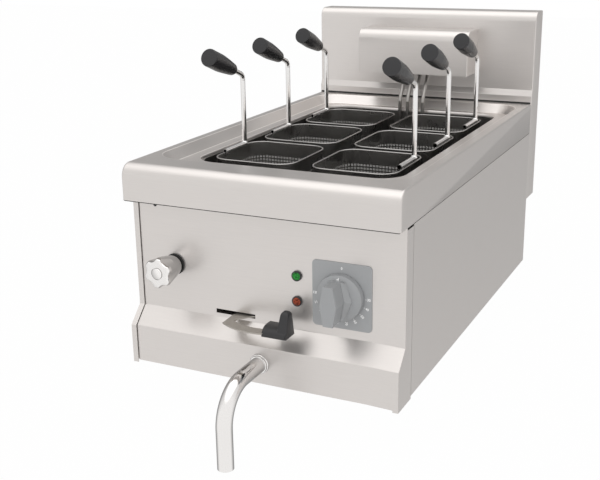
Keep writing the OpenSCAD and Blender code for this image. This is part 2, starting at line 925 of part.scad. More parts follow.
// Pipe from the tap up and through the tank wall
module fill_pipe() {
  z_tap = tap_z + tap_body_h / 2;
  color(chrome)
    difference() {
      bar_path([
          [x_fill, y_pipes, z_tap], [x_fill, y_pipes, z_fill], [x_fill, tank_y0 + 8, z_fill]
        ], feed_r, 14);
      bar_path([
          [x_fill, y_pipes, z_tap + 1], [x_fill, y_pipes, z_fill], [x_fill, tank_y0 + 9, z_fill]
        ], feed_r - 1, 14);
    }
}

// Thermostat behind the panel, with its threaded neck
module thermostat_body() {
  color(dark_steel)
    difference() {
      union() {
        on_front(x_dial, y_in + 34, dial_z)
          cylinder(r = 18, h = 34);
        on_front(x_dial, y_in + 1, dial_z)
          cylinder(r = dial_neck_r, h = sheet_t + plate_t + 1);
      }
      on_front(x_dial, y_in + 26, dial_z)
        cylinder(r = spindle_r + run_gap, h = 40);
    }
}

// Dial plate behind the thermostat knob
module dial_plate() {
  color(grey)
    on_front(x_dial, y_up, dial_z)
      linear_extrude(plate_t)
        difference() {
          round_rect(plate_w, plate_h, 7);
          circle(dial_neck_r + pass_gap / 4);
        }
}

// Places of the lamps
module at_lamp(z) {
  on_front(x_lamp, y_up, z)
    children();
}

// Bodies and bezels of both lamps
module lamp_bodies() {
  color(black)
    for (z = [lamp_z, lamp_z - lamp_pitch])
      at_lamp(z)
        difference() {
          union() {
            translate([0, 0, -24])
              cylinder(r = lamp_r - 1.5, h = 25);
            cylinder(r = lamp_r, h = 2.5);
          }
          translate([0, 0, 1])
            cylinder(r = lamp_r - 1.6, h = 3);
        }
}

// Lens of a lamp: a short drum with a shallow dome
module lamp_lens() {
  translate([0, 0, 1])
    cylinder(r = lamp_r - 1.6, h = 1.8);
  translate([0, 0, 2.8])
    cylinder(r1 = lamp_r - 1.6, r2 = lamp_r - 3.6, h = 1.2);
}

module lamp_lens_upper() {
  color([0.05, 0.35, 0.12])
    at_lamp(lamp_z)
      lamp_lens();
}

module lamp_lens_lower() {
  color([0.75, 0.20, 0.10])
    at_lamp(lamp_z - lamp_pitch)
      lamp_lens();
}

// Power contactor on the base pan
module contactor() {
  color(black)
    translate([hw - relay_in, -60, z_floor]) {
      cube([relay_w, relay_l, relay_h]);
      translate([relay_step, 2 * relay_step, relay_h])
        cube([relay_w - 2 * relay_step, relay_l - 4 * relay_step, relay_cover]);
    }
}

// Mains terminal block on the base pan
module terminal_block() {
  color(grey)
    difference() {
      translate([hw - block_in, y_rear - block_back, z_floor])
        cube([block_l, block_w, block_h]);
      translate([hw - block_in + block_l / 2, y_rear - block_back + block_w / 2, z_floor + 10])
        for (i = [-2:2])
          translate([i * pole_pitch, 0, 0])
            cylinder(r = pole_r, h = block_h);
    }
}

// Cable gland on the rear panel, without its cord
module cable_gland() {
  color(black)
    translate([x_gland, y_rear, gland_z])
      rotate([-90, 0, 0])
        difference() {
          union() {
            translate([0, 0, -14])
              cylinder(r = 9, h = 15);
            linear_extrude(6)
              polygon(hex_points(14));
            translate([0, 0, 6])
              cylinder(r1 = 12, r2 = 9, h = 14);
          }
          translate([0, 0, -15])
            cylinder(r = 6, h = 40);
        }
}

// Thermostat knob: a bevelled skirt and a tapering bar
module thermostat_knob() {
  color(grey)
    on_front(x_dial, dial_plate_y - knob_gap, dial_z)
      difference() {
        union() {
          cylinder(r = knob_r, h = 6);
          translate([0, 0, 6])
            cylinder(r1 = knob_r, r2 = knob_r - 2.5, h = 4);
          translate([0, 0, 9])
            linear_extrude(knob_l - 9)
              polygon([[-6, 27], [6, 27], [10.5, 0], [6, -27], [-6, -27], [-10.5, 0]]);
          translate([0, 0, 9])
            linear_extrude((knob_l - 9) * 0.45)
              polygon([[-8, 25], [8, 25], [14, 0], [8, -25], [-8, -25], [-14, 0]]);
        }
        translate([0, 0, -1])
          cylinder(r = spindle_r, h = 26);
      }
}

// Spindle of the thermostat, pressed into its knob
module thermostat_spindle() {
  color(chrome)
    on_front(x_dial, y_in + 24, dial_z)
      cylinder(r = spindle_r, h = 24 + sheet_t + plate_t + knob_gap + 25);
}

// Tap knob: a flared drum with six scallops, a sloping front and a raised cap
module tap_knob() {
  scallop_r = 0.42 * tap_r;
  color(chrome)
    on_front(-x_tap, y_up - gasket_t - knob_gap, tap_z)
      difference() {
        union() {
          cylinder(r1 = tap_neck, r2 = tap_r, h = tap_l - tap_front);
          translate([0, 0, tap_l - tap_front])
            cylinder(r1 = tap_r, r2 = tap_r - 0.75 * tap_front, h = tap_front);
          translate([0, 0, tap_l])
            cylinder(r = 0.43 * tap_r, h = 1.2);
        }
        for (a = [-7:60:293])
          rotate([0, 0, a])
            translate([1.175 * tap_r, 0, tap_l / 2])
              cylinder(r = scallop_r, h = tap_l);
        translate([0, 0, -1])
          cylinder(r = tap_spindle_r, h = 26);
      }
}

// Spindle of the tap, pressed into its knob
module tap_spindle() {
  color(chrome)
    on_front(-x_tap, y_in + 28, tap_z)
      cylinder(r = tap_spindle_r, h = 28 + sheet_t + gasket_t + knob_gap + 25);
}

// Ball and stem of the drain valve, shut at rest
module valve_ball() {
  color(chrome)
    translate([drain_x, y_valve, 0])
      difference() {
        union() {
          translate([0, 0, drain_z])
            sphere(ball_r);
          translate([0, 0, drain_z])
            cylinder(r = stem_r, h = z_lever - drain_z);
          translate([0, 0, z_lever - 1])
            cylinder(r = tip_r, h = lever_t + 10);
        }
        translate([0, 0, drain_z])
          rotate([0, 0, way_turn])
            rotate([90, 0, 0])
              translate([0, 0, -ball_r - 5])
                cylinder(r = way_r, h = 2 * ball_r + 10);
      }
}

// Flat form of the lever about its pivot: hub, stem and arc
module lever_form(z0, t) {
  arc_in = arc_out - arc_w;
  translate([drain_x, y_valve, z0]) {
    cylinder(r = 12, h = t);
    rotate([0, 0, 234])
      rotate_extrude(angle = 64)
        translate([arc_in, 0])
          square([arc_w, t]);
    linear_extrude(t)
      polygon([
        (arc_out - 0.6) * [cos(234.6), sin(234.6)], [-49, -36], [-45, -22], [-8, 9], [8, -9],
        [-24, -34], [-36, -48], (arc_in + 3) * [cos(238), sin(238)]
      ]);
  }
}

// Drain lever, keyed on the stem
module drain_lever() {
  color(grey)
    difference() {
      lever_form(z_lever, lever_t);
      translate([drain_x, y_valve, z_lever - 1])
        cylinder(r = tip_r, h = lever_t + 2);
    }
}

// Nut that holds the lever on the stem
module lever_nut() {
  color(chrome)
    translate([drain_x, y_valve, z_lever + lever_t])
      linear_extrude(6)
        difference() {
          polygon(hex_points(7));
          circle(tip_r);
        }
}

// Moulded grip of the lever: a rounded foot and an upright finger
module lever_grip() {
  x0 = drain_x + 17;
  x1 = drain_x + 52.5;
  yf = y_valve - arc_out + 1;
  z0 = z_lever - 2;
  color(black)
    difference() {
      union() {
        intersection() {
          translate([x0, yf, z0])
            cube([x1 - x0, 27, 12]);
          translate([x0 - 1, yf + 17, z0 - 5])
            rotate([0, 90, 0])
              cylinder(r = 17.4, h = x1 - x0 + 2);
        }
        translate([x0, yf + 17, z0])
          cube([x1 - x0, 10, 12]);
        intersection() {
          prism_x(x0, x1)
            polygon([
              [yf + 0.5, z0], [yf + 27, z0], [yf + 27, z0 + 12], [yf + 24, z0 + 35],
              [yf + 14, z0 + 35]
            ]);
          translate([0, yf + 28, 0])
            rotate([90, 0, 0])
              linear_extrude(30) {
                polygon([[x1 - 15, z0], [x1, z0], [x1 - 3, z0 + 29.3], [x1 - 12, z0 + 29.3]]);
                translate([x1 - 7.5, z0 + 29.3])
                  circle(4.5);
              }
        }
      }
      lever_form(z_lever, lever_t);
    }
}

// Place of a basket: column c is -1 or 1, row k is 0, 1 or 2 from the front
module at_basket(c, k) {
  translate([c * col_pitch / 2, row_mid + (k - 1) * row_pitch, 0])
    children();
}

// Round rim of a basket
module rim_loop() {
  cx = rim_w / 2 - basket_r;
  cy = rim_l / 2 - basket_r;
  translate([0, 0, z_rim]) {
    for (s = [-1, 1]) {
      rod([-cx, s * rim_l / 2, 0], [cx, s * rim_l / 2, 0], rim_r);
      rod([s * rim_w / 2, -cy, 0], [s * rim_w / 2, cy, 0], rim_r);
    }
    for (q = [[1, 1, 0], [-1, 1, 90], [-1, -1, 180], [1, -1, 270]])
      translate([q[0] * cx, q[1] * cy, 0])
        rotate([0, 0, q[2]])
          rotate_extrude(angle = 90)
            translate([basket_r, 0])
              circle(rim_r);
  }
}

// Perforated basket with its rolled rim
module basket_pan(c, k) {
  w = rim_w - 1;
  l = rim_l - 1;
  r = basket_r - 0.5;
  color(dark_steel)
    at_basket(c, k)
      difference() {
        union() {
          difference() {
            round_block(0, z_false, z_rim, w, l, r);
            round_block(0, z_false + pan_t, z_rim + 5, w - 2 * pan_t, l - 2 * pan_t, r - pan_t);
          }
          rim_loop();
        }
        for (z = [z_false + 18:26:z_rim - 30]) {
          for (i = [-2:2])
            translate([i * 13, l / 2 + 5, z])
              rotate([90, 0, 0])
                cylinder(r = perf_r, h = l + 10, $fn = 8);
          for (i = [-2:2])
            translate([-w / 2 - 5, i * 16, z])
              rotate([0, 90, 0])
                cylinder(r = perf_r, h = w + 10, $fn = 8);
        }
        for (ix = [-2:2])
          for (iy = [-2:2])
            translate([ix * 18, iy * 21, z_false - 1])
              cylinder(r = perf_r, h = pan_t + 2, $fn = 8);
      }
}

// Direction of a grip, forward and up
function grip_dir() = [0, -cos(grip_tilt), sin(grip_tilt)];

// Handle: a hollow seat on the rim, a ball elbow and a bent rod
module basket_handle(c, k) {
  x = c * (rim_w / 2 + seat_out);
  y = seat_l / 2 - 1.5;
  top = [x, y, z_elbow];
  color(chrome)
    at_basket(c, k)
      difference() {
        union() {
          rod([x, -seat_l / 2 - 1.5, z_seat], [x, y, z_seat], rod_r);
          translate([x, y, z_seat])
            sphere(rod_r + 0.6);
          bar_path([[x, y, z_seat], top, top + grip_dir() * (grip_from + grip_hold)], rod_r, rod_bend);
        }
        rod([x, -seat_l / 2 - 3, z_seat], [x, y - 12, z_seat], rod_r - 1.1);
      }
}

// Tapered moulded grip
module basket_grip(c, k) {
  x = c * (rim_w / 2 + seat_out);
  color(black)
    at_basket(c, k)
      translate([x, seat_l / 2 - 1.5, z_elbow] + grip_dir() * grip_from)
        rotate([90 - grip_tilt, 0, 0])
          difference() {
            rotate_extrude()
              polygon([
                [0, 0], [grip_r * 0.61, 0], [grip_r * 0.766, grip_l * 0.15], [grip_r * 0.89, grip_l * 0.35],
                [grip_r * 0.984, grip_l * 0.6], [grip_r, grip_l * 0.8], [grip_r * 0.985, grip_l * 0.95],
                [grip_r * 0.9, grip_l], [0, grip_l]
              ]);
            translate([0, 0, -1])
              cylinder(r = rod_r, h = grip_hold + 1);
          }
}

module basket_1_pan() { basket_pan(-1, 0); }
module basket_1_handle() { basket_handle(-1, 0); }
module basket_1_grip() { basket_grip(-1, 0); }
module basket_2_pan() { basket_pan(1, 0); }
module basket_2_handle() { basket_handle(1, 0); }
module basket_2_grip() { basket_grip(1, 0); }
module basket_3_pan() { basket_pan(-1, 1); }
module basket_3_handle() { basket_handle(-1, 1); }
module basket_3_grip() { basket_grip(-1, 1); }
module basket_4_pan() { basket_pan(1, 1); }
module basket_4_handle() { basket_handle(1, 1); }
module basket_4_grip() { basket_grip(1, 1); }
module basket_5_pan() { basket_pan(-1, 2); }
module basket_5_handle() { basket_handle(-1, 2); }
module basket_5_grip() { basket_grip(-1, 2); }
module basket_6_pan() { basket_pan(1, 2); }
module basket_6_handle() { basket_handle(1, 2); }
module basket_6_grip() { basket_grip(1, 2); }

base_pan();
feet();
foot_nuts();
side_panel_left();
side_panel_right();
corner_post_left();
corner_post_right();
front_panel();
rear_panel();
panel_screws();
worktop();
tank();
false_bottom();
splashback();
head_box();
head_flange();
heating_elements();
outlet_elbow();
valve_body();
drain_collar();
drain_pipe();
tap_body();
tap_gasket();
feed_pipe();
fill_pipe();
inlet_union();
thermostat_body();
dial_plate();
lamp_bodies();
lamp_lens_upper();
lamp_lens_lower();
contactor();
terminal_block();
cable_gland();
thermostat_knob();
thermostat_spindle();
tap_knob();
tap_spindle();
valve_ball();
drain_lever();
lever_nut();
lever_grip();
basket_1_pan();
basket_1_handle();
basket_1_grip();
basket_2_pan();
basket_2_handle();
basket_2_grip();
basket_3_pan();
basket_3_handle();
basket_3_grip();
basket_4_pan();
basket_4_handle();
basket_4_grip();
basket_5_pan();
basket_5_handle();
basket_5_grip();
basket_6_pan();
basket_6_handle();
basket_6_grip();
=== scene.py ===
"""Looks of a countertop electric pasta cooker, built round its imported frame. Metres, +Z up, front at -Y."""

import json
import math

import bmesh
import bpy
import numpy as np
from mathutils import Matrix, Vector


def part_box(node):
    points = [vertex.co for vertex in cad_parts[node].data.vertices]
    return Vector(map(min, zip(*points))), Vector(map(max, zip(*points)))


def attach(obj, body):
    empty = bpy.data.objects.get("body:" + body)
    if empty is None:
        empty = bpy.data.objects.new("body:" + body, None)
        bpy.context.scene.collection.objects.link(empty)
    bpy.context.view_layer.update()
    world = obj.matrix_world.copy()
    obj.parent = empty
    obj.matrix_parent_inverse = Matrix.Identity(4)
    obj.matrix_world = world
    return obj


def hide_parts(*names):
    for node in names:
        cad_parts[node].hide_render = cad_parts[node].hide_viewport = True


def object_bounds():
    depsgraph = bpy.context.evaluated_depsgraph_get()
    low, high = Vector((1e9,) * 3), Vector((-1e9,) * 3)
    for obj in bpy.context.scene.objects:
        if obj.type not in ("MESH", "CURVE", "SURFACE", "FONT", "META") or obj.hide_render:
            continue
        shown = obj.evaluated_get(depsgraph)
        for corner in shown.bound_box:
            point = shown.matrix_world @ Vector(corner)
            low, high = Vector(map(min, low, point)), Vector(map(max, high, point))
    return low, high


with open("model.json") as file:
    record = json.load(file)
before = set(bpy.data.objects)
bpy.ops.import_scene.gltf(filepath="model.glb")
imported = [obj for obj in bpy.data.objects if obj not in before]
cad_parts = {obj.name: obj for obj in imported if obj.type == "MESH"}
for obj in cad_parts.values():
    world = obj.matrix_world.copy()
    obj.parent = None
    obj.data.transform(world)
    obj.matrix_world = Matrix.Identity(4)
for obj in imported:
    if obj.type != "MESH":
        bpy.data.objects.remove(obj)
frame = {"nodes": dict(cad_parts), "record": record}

cad_bounds = [[float(v) for v in corner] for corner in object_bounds()]
nodes = frame["nodes"]
MM = 0.001
UP = np.array([0, 0, 1.0])

# Meshes: rows this near a bend keep the sheet beside it flat, and points and slivers this small are merged
EASE = 0.4 * MM
BEND_ROWS = 7
MERGE_WITHIN = 0.002 * MM
SLIVER = 0.001 * MM
LEVEL_WITHIN = 1e-9

# Places and sizes that come from the frame
WORK_LO, WORK_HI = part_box("worktop")
PANEL_LO, PANEL_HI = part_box("front_panel")
SPLASH_LO, SPLASH_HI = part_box("splashback")
HEAD_LO, HEAD_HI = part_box("head_box")
TANK_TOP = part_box("tank")[1].z
PLATE_LO, PLATE_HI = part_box("dial_plate")
KNOB_LO, KNOB_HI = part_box("thermostat_knob")
TAP_LO, TAP_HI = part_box("tap_knob")
SPINDLE_LO, SPINDLE_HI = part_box("tap_spindle")
GRIP_LO, GRIP_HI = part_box("lever_grip")
HALF_W = WORK_HI.x
DIAL_X = (KNOB_LO.x + KNOB_HI.x) / 2
DIAL_Z = (KNOB_LO.z + KNOB_HI.z) / 2
KNOB_PLACE = (DIAL_X, KNOB_HI.y, DIAL_Z)
TAP_PLACE = ((SPINDLE_LO.x + SPINDLE_HI.x) / 2, TAP_HI.y, (SPINDLE_LO.z + SPINDLE_HI.z) / 2)
TAP_HALF = (TAP_HI.z - TAP_LO.z) / 2

# Worktop: nose and sides, border, recess with the legs that give its wall's bends, and mouth of the tank
LIP_NOSE = 18 * MM
EDGE_SIDE = 3 * MM
SQUARE_CORNER = 0.01 * MM
BORDER_SIDE = 14 * MM
BORDER_FRONT = 54 * MM
BORDER_REAR = 18.5 * MM
RECESS_DEPTH = 13.7 * MM
RECESS_RUN = 14 * MM
RECESS_CORNER = 40 * MM
RECESS_LIP = 1.5 * MM
RECESS_FILLET = 1.5 * MM
WALL_LEG = 8 * MM
MOUTH_SIDE = 155 * MM
MOUTH_FRONT = -242.5 * MM
MOUTH_REAR = 255 * MM
MOUTH_CORNER = 36 * MM
MOUTH_LIP = 1.2 * MM
MOUTH_LIP_MIDDLE = (0.4 * MM, 0.35 * MM)
# Painted highlight: how much lighter each ring of the mouth's rounded lip is painted.
MOUTH_HIGHLIGHT = [0, 0.6, 1, 0.6, 0]

# Front panel, its plug, and dark strips of painted shade for the shadow gaps under the lip and at the
# splash's foot
PANEL_SET = 26 * MM
PANEL_SHEET = 1.2 * MM
PANEL_BEND = 1.5 * MM
CHAMFER_TOP = 92 * MM
CHAMFER_LOW = 68 * MM
SLOT_LEFT = -75 * MM
SLOT_RIGHT = -14.9 * MM
SLOT_MIDDLE = 99.8 * MM
SLOT_HEIGHT = 6 * MM
POST_MARGIN = 0.2 * MM
LAP_START = 157 * MM
LAP_FORWARD = 2.25 * MM
SHADOW_STRIP_END = 2 * MM
LIP_SHADOW_SET = 0.6 * MM
LIP_SHADOW_HEIGHT = 1.2 * MM
LIP_SHADOW_DEPTH = 3 * MM
FOOT_SHADOW_HEIGHT = 2.6 * MM
FOOT_SHADOW_DEPTH = 1.4 * MM
PLUG_RADIUS = 2.4 * MM
PLUG_FACE = 0.8
PLUG_EDGE = 0.6 * MM
PLUG_HEAD = 1 * MM
PLUG_X = -165.5 * MM
PLUG_Z = 240.4 * MM

# Splash and heater head
SKIRT_TOP = 13 * MM
SKIRT_FORWARD = 4.5 * MM
SKIRT_SLOPE = 10 * MM
SPLASH_NOSE = 15 * MM
SPLASH_LIP = 22 * MM
HEAD_NOSE = 17 * MM
EDGE_FOLD = 1.2 * MM
CAP_SHEET = 1.0 * MM
SHEET_BEND = 1.7 * MM

# Baskets and their grips; the shift takes the floor's map past the plain band below the rim
BASKETS = 6
RIM_WIRE = 1.2 * MM
RIM_CORNER = 25 * MM
PAN_FILLET = 12 * MM
PAN_SHEET = 0.9 * MM
PAN_CORNER_FALL = 0.5
PAN_CORNER_LEAST = 0.5 * MM
PAN_FLOOR_SHARES = (0.3, 0.6, 0.98, 1.0)
FLOOR_MAP_SHIFT = 10
PERF_PITCH = 5.0 * MM
PERF_HOLE = 0.85 * MM
PERF_RING = 1.9
PERF_START = 19 * MM
BEAD_RADIUS = 4.7 * MM
GRIP_TILT = math.radians(21)
GRIP_LENGTH = 73 * MM
GRIP_RADIUS = 12.8 * MM
GRIP_EDGE = 1.2 * MM
GRIP_TAPER = 0.36
GRIP_TAPER_REACH = 0.62
GRIP_TAPER_POWER = 1.3
GRIP_TIP = 0.16
GRIP_TIP_REACH = 0.08
GRIP_SEAT = 0.61

# Dial plate and its print
PLATE_CORNER = 6 * MM
PLATE_BEVEL = 0.7 * MM
PLATE_BEVEL_MIDDLE = 0.21 * MM
PRINT_HALF = 0.04 * MM
PRINT_BOLD = 0.1 * MM
DIGIT_SHARE = 0.7
NUMBER_FIRST = 30
NUMBER_RISE = 10
NUMBER_COUNT = 10
NUMBER_RADIUS = 37.3 * MM
NUMBER_HEIGHT = 3.4 * MM
NUMBER_START = 90
NUMBER_STEP = 20
TICK_INNER = 32.4 * MM
TICK_OUTER = 34.2 * MM
TICK_HALF = 0.3 * MM

# Thermostat knob: skirt and its crown, bar, shoulder beside the bar, and arrow
SKIRT_HEIGHT = 9 * MM
SKIRT_SHARE = 0.955
SKIRT_EDGE = 1.2 * MM
CROWN = ((0.86, 2.2 * MM), (0.5, 3.2 * MM), (0, 3.4 * MM))
BAR_END = 26.5 * MM
BAR_END_HALF = 6.8 * MM
BAR_MIDDLE_HALF = 11.8 * MM
BAR_SEAT = 1 * MM
BAR_ROUND = 0.8 * MM
BAR_BEVEL = 0.7 * MM
BAR_FOOT_SCALE = (1.02, 0.96)
FACE_SCALE = (0.94, 0.985)
FACE_ROUND = 0.6 * MM
FACE_INNER = 0.97
SHOULDER_TOP = 20 * MM
SHOULDER_DROP = 6 * MM
SHOULDER_SCALE = (1.7, 0.92)
SHOULDER_ROUND = 1.5 * MM
SHOULDER_DRAFT = 0.98
SHOULDER_NECK = 1.06
ARROW = ((-2.6 * MM, 25.8 * MM), (1.6 * MM, 25.4 * MM), (1.4 * MM, 29.2 * MM), (-0.2 * MM, 27.4 * MM))
ARROW_RISE = 2.35 * MM
ARROW_THICK = 0.12 * MM

# Tap knob: flared drum, scallops, rounded front edge, face and cap
TAP_LOBES = 6
TAP_NECK = 13.6 * MM
TAP_RIM_SHARE = 1.05
TAP_FLARE_POWER = 0.9
TAP_ROUND = 6 * MM
TAP_ROUND_SHARE = 0.35
TAP_FACE_SHARES = (0.6, 0.25, 0.0)
TAP_CAP = 8.8 * MM
TAP_CAP_RISE = 1.2 * MM
TAP_CAP_LINE = ((0.1 * MM, -0.8 * MM), (0.9 * MM, -0.8 * MM), (1.0 * MM, 0.7 * MM), (1.5 * MM, TAP_CAP_RISE))
SCALLOP_TURN = math.radians(53)
SCALLOP_FAR = 1.54
SCALLOP_RADIUS = 0.7
SCALLOP_LEAN = 8 * MM
SCALLOP_LEAN_END = 0.62
SCALLOP_BLEND = 2.4 / MM

# Lever grip and drain collar
FOOT_HEIGHT = 12.4 * MM
FOOT_ROUND = 17 * MM
FOOT_CHAMFER = 1 * MM
FOOT_END = 2 * MM
FOOT_ROUNDING = ((0, 0.0), (0, 0.93), (0.4 * MM, 0.98), (1.2 * MM, 1.0))
FINGER_WIDTH = 15 * MM
FINGER_NARROW = 2 * MM
FINGER_SET = 0.4 * MM
FINGER_LEAN = 13.5 * MM
FINGER_BACK = 3 * MM
FINGER_DOME = 6 * MM
FINGER_FIRST = 0.002
FINGER_STRAIGHT = 0.8
FINGER_LEAST = 0.02
FINGER_CORNER = 1.2 * MM
FINGER_CORNER_SHARE = 0.8
COLLAR_WALL = 3 * MM
COLLAR_ROUND = 1.1 * MM
COLLAR_STEP = 2.3 * MM
COLLAR_EDGE = 0.9 * MM

# Finishes
# How much lighter the steel is painted where its map marks a bend: a painted highlight.
BEND_HIGHLIGHT = 0.4
GRAIN_DEPTH = 0.04 * MM
PEBBLE_DEPTH = 0.2 * MM
FACET_DEPTH = 0.6 * MM
CHROME_TINT = (1.0, 0.985, 0.975)
# Basket steel painted darker than the body's sheet: painted shade for the inside of the tank. The rings round
# the holes are painted paler: a painted highlight.
BASKET_SHADED_TONE = (0.36, 0.352, 0.342)
RING_HIGHLIGHT_TONE = (0.62, 0.61, 0.595, 1)

# Studio: camera, lamp, room and floor
CAMERA_PLACE = Vector((0.58947, -1.42663, 0.60268))
CAMERA_AZIMUTH = math.radians(25.91)
CAMERA_ELEVATION = math.radians(17.48)
CAMERA_ROLL = math.radians(-0.90)
CAMERA_LENS = 60.12
CAMERA_SENSOR = 36
CAMERA_REACH = 50
SOFTBOX_PLACE = Vector((-0.4, -0.9, 2.4))
SOFTBOX_TARGET = Vector((0, -0.1, 0.25))
SOFTBOX_WIDTH = 2.6
SOFTBOX_HEIGHT = 2.0
SOFTBOX_POWER = 8
ROOM_COLOUR = (1, 0.99, 0.98, 1)
ROOM_AHEAD = {"lean": (0.35, -1, -0.5), "between": (-1.2, 0.2), "levels": (0.32, 0.95)}
ROOM_ABOVE = {"lean": (0, 0, 1), "between": (0.35, 0.9), "levels": (0.0, 1.65)}
ROOM_LIGHT = {"lean": (0.3, -0.85, -0.3), "between": (-0.95, 0.95), "levels": (0.02, 1.6)}
FLOOR_GAP = 0.5 * MM
FLOOR_REACH = 6.0
FLOOR_TONE = (0.85, 0.85, 0.85, 1)
FLOOR_GLOW = 0.985


def arc_points(centre, radius, start, stop, count):
    """Points of a circular arc in a plane, from one angle in degrees to another."""
    a = np.radians(np.linspace(start, stop, count))
    return np.stack([centre[0] + radius * np.cos(a), centre[1] + radius * np.sin(a)], 1)


def bent_line(corners, radii, count=BEND_ROWS):
    """Polyline whose inner corners are arcs, tangent to their legs, with a point just outside each arc."""
    corners = np.asarray(corners, float)
    runs = [corners[:1]]
    for before, corner, after, radius in zip(corners[:-2], corners[1:-1], corners[2:], radii):
        a = (before - corner) / np.linalg.norm(before - corner)
        b = (after - corner) / np.linalg.norm(after - corner)
        half = math.acos(np.clip(a @ b, -1, 1)) / 2
        centre = corner + (a + b) / np.linalg.norm(a + b) * radius / math.sin(half)
        u = corner + a * radius / math.tan(half) - centre
        v = corner + b * radius / math.tan(half) - centre
        sweep = math.pi - 2 * half
        t = np.linspace(0, 1, count)[:, None]
        arc = centre + (np.sin((1 - t) * sweep) * u + np.sin(t * sweep) * v) / math.sin(sweep)
        runs += [arc[:1] + a * EASE, arc, arc[-1:] + b * EASE]
    runs.append(corners[-1:])
    return np.concatenate(runs)


def inset_line(line, depth):
    """A plane line moved to its left-hand side by a depth, along the mean normal at each point."""
    step = np.gradient(line, axis=0)
    step /= np.linalg.norm(step, axis=1, keepdims=True)
    return line + depth * np.stack([-step[:, 1], step[:, 0]], 1)


def round_ring(half_x, half_y, corner, centre, z, count=12):
    """Rounded rectangle at height z: four quarter circles of the corner radius, joined by straight sides."""
    k = np.arange(4)[:, None]
    a = np.radians(np.linspace(0, 90, count)[None, :] + 90 * k)
    sx = np.array([1, -1, -1, 1])[:, None]
    sy = np.array([1, 1, -1, -1])[:, None]
    x = centre[0] + sx * (half_x - corner) + corner * np.cos(a)
    y = centre[1] + sy * (half_y - corner) + corner * np.sin(a)
    return np.stack([x, y, np.full_like(x, z)], -1).reshape(-1, 3)


def folded(line, xs):
    """A line in Y and Z drawn out along X: a grid with one row for each point of the line."""
    line = np.asarray(line, float)
    xs = np.asarray(xs, float)
    x = np.broadcast_to(xs[None, :], (len(line), len(xs)))
    y = np.broadcast_to(line[:, :1], x.shape)
    z = np.broadcast_to(line[:, 1:], x.shape)
    return np.stack([x, y, z], -1)


def side_round(line, x_edge, side, radius, count=5):
    """Rounded side edge of a folded sheet: quarter circles from the face of the line to a plane at x_edge."""
    a = np.radians(np.linspace(0, 90, count))
    inner = inset_line(line, radius)
    out = (line - inner) / radius
    x = x_edge - side * radius * (1 - np.sin(a))
    yz = inner[:, None, :] + out[:, None, :] * radius * np.cos(a)[None, :, None]
    return np.concatenate([np.broadcast_to(x[None, :, None], yz.shape[:2] + (1,)), yz], -1)


def turned(profile, count=48):
    """A profile of radius and height turned once about Z, as a closed grid."""
    profile = np.asarray(profile, float)
    a = np.linspace(0, 2 * math.pi, count, endpoint=False)
    x = profile[:, :1] * np.cos(a)[None, :]
    y = profile[:, :1] * np.sin(a)[None, :]
    z = np.broadcast_to(profile[:, 1:], x.shape)
    return np.stack([x, y, z], -1)


def facing_front(points, place):
    """Points built along their own Z, turned so that Z looks to the front, and moved to a place."""
    return np.stack([points[..., 0], -points[..., 2], points[..., 1]], -1) + np.asarray(place)


def patch(points, wrap=False, uv=None, keep=None):
    """A grid of points with its optional map and a mask of the cells that are kept."""
    return {"points": np.asarray(points, float), "wrap": wrap, "uv": uv, "keep": keep}


def cells_of(grid):
    """Corner numbers of a grid's cells; a wrapped grid joins its last column to its first."""
    rows, cols = grid["points"].shape[:2]
    r = np.arange(rows - 1)[:, None]
    c = np.arange(cols if grid["wrap"] else cols - 1)[None, :]
    d = (c + 1) % cols
    cells = np.stack([r * cols + c, r * cols + d, (r + 1) * cols + d, (r + 1) * cols + c], -1)
    if grid["keep"] is not None:
        return cells[grid["keep"]]
    return cells.reshape(-1, 4)


def add_object(name, data):
    """An object of the scene that shows the given data."""
    made = bpy.data.objects.new(name, data)
    bpy.context.scene.collection.objects.link(made)
    return made


def piece(name, grids, body, material, slot, replaces=(), **options):
    """One mesh from several grids, which are joined where their points meet."""
    verts, cells, uvs, base = [], [], [], 0
    for g in grids:
        flat = g["points"].reshape(-1, 3)
        verts.append(flat)
        cells.append(cells_of(g) + base)
        uvs.append(np.zeros((len(flat), 2)) if g["uv"] is None else np.asarray(g["uv"]).reshape(-1, 2))
        base += len(flat)
    verts, cells, uvs = np.concatenate(verts), np.concatenate(cells), np.concatenate(uvs)
    mesh_piece(name, verts, cells.tolist(), uvs, body, material, slot, replaces, **options)


def sharpen_rim(mesh):
    """Marks a sheet's open edges as sharp, so that its cut faces don't blend into the sheet."""
    used = np.zeros(len(mesh.loops), np.int32)
    mesh.loops.foreach_get("edge_index", used)
    sharp = np.zeros(len(mesh.edges), bool)
    marks = mesh.attributes.get("sharp_edge") or mesh.attributes.new("sharp_edge", "BOOLEAN", "EDGE")
    marks.data.foreach_get("value", sharp)
    sharp |= np.bincount(used, minlength=len(sharp)) == 1
    marks.data.foreach_set("value", sharp)


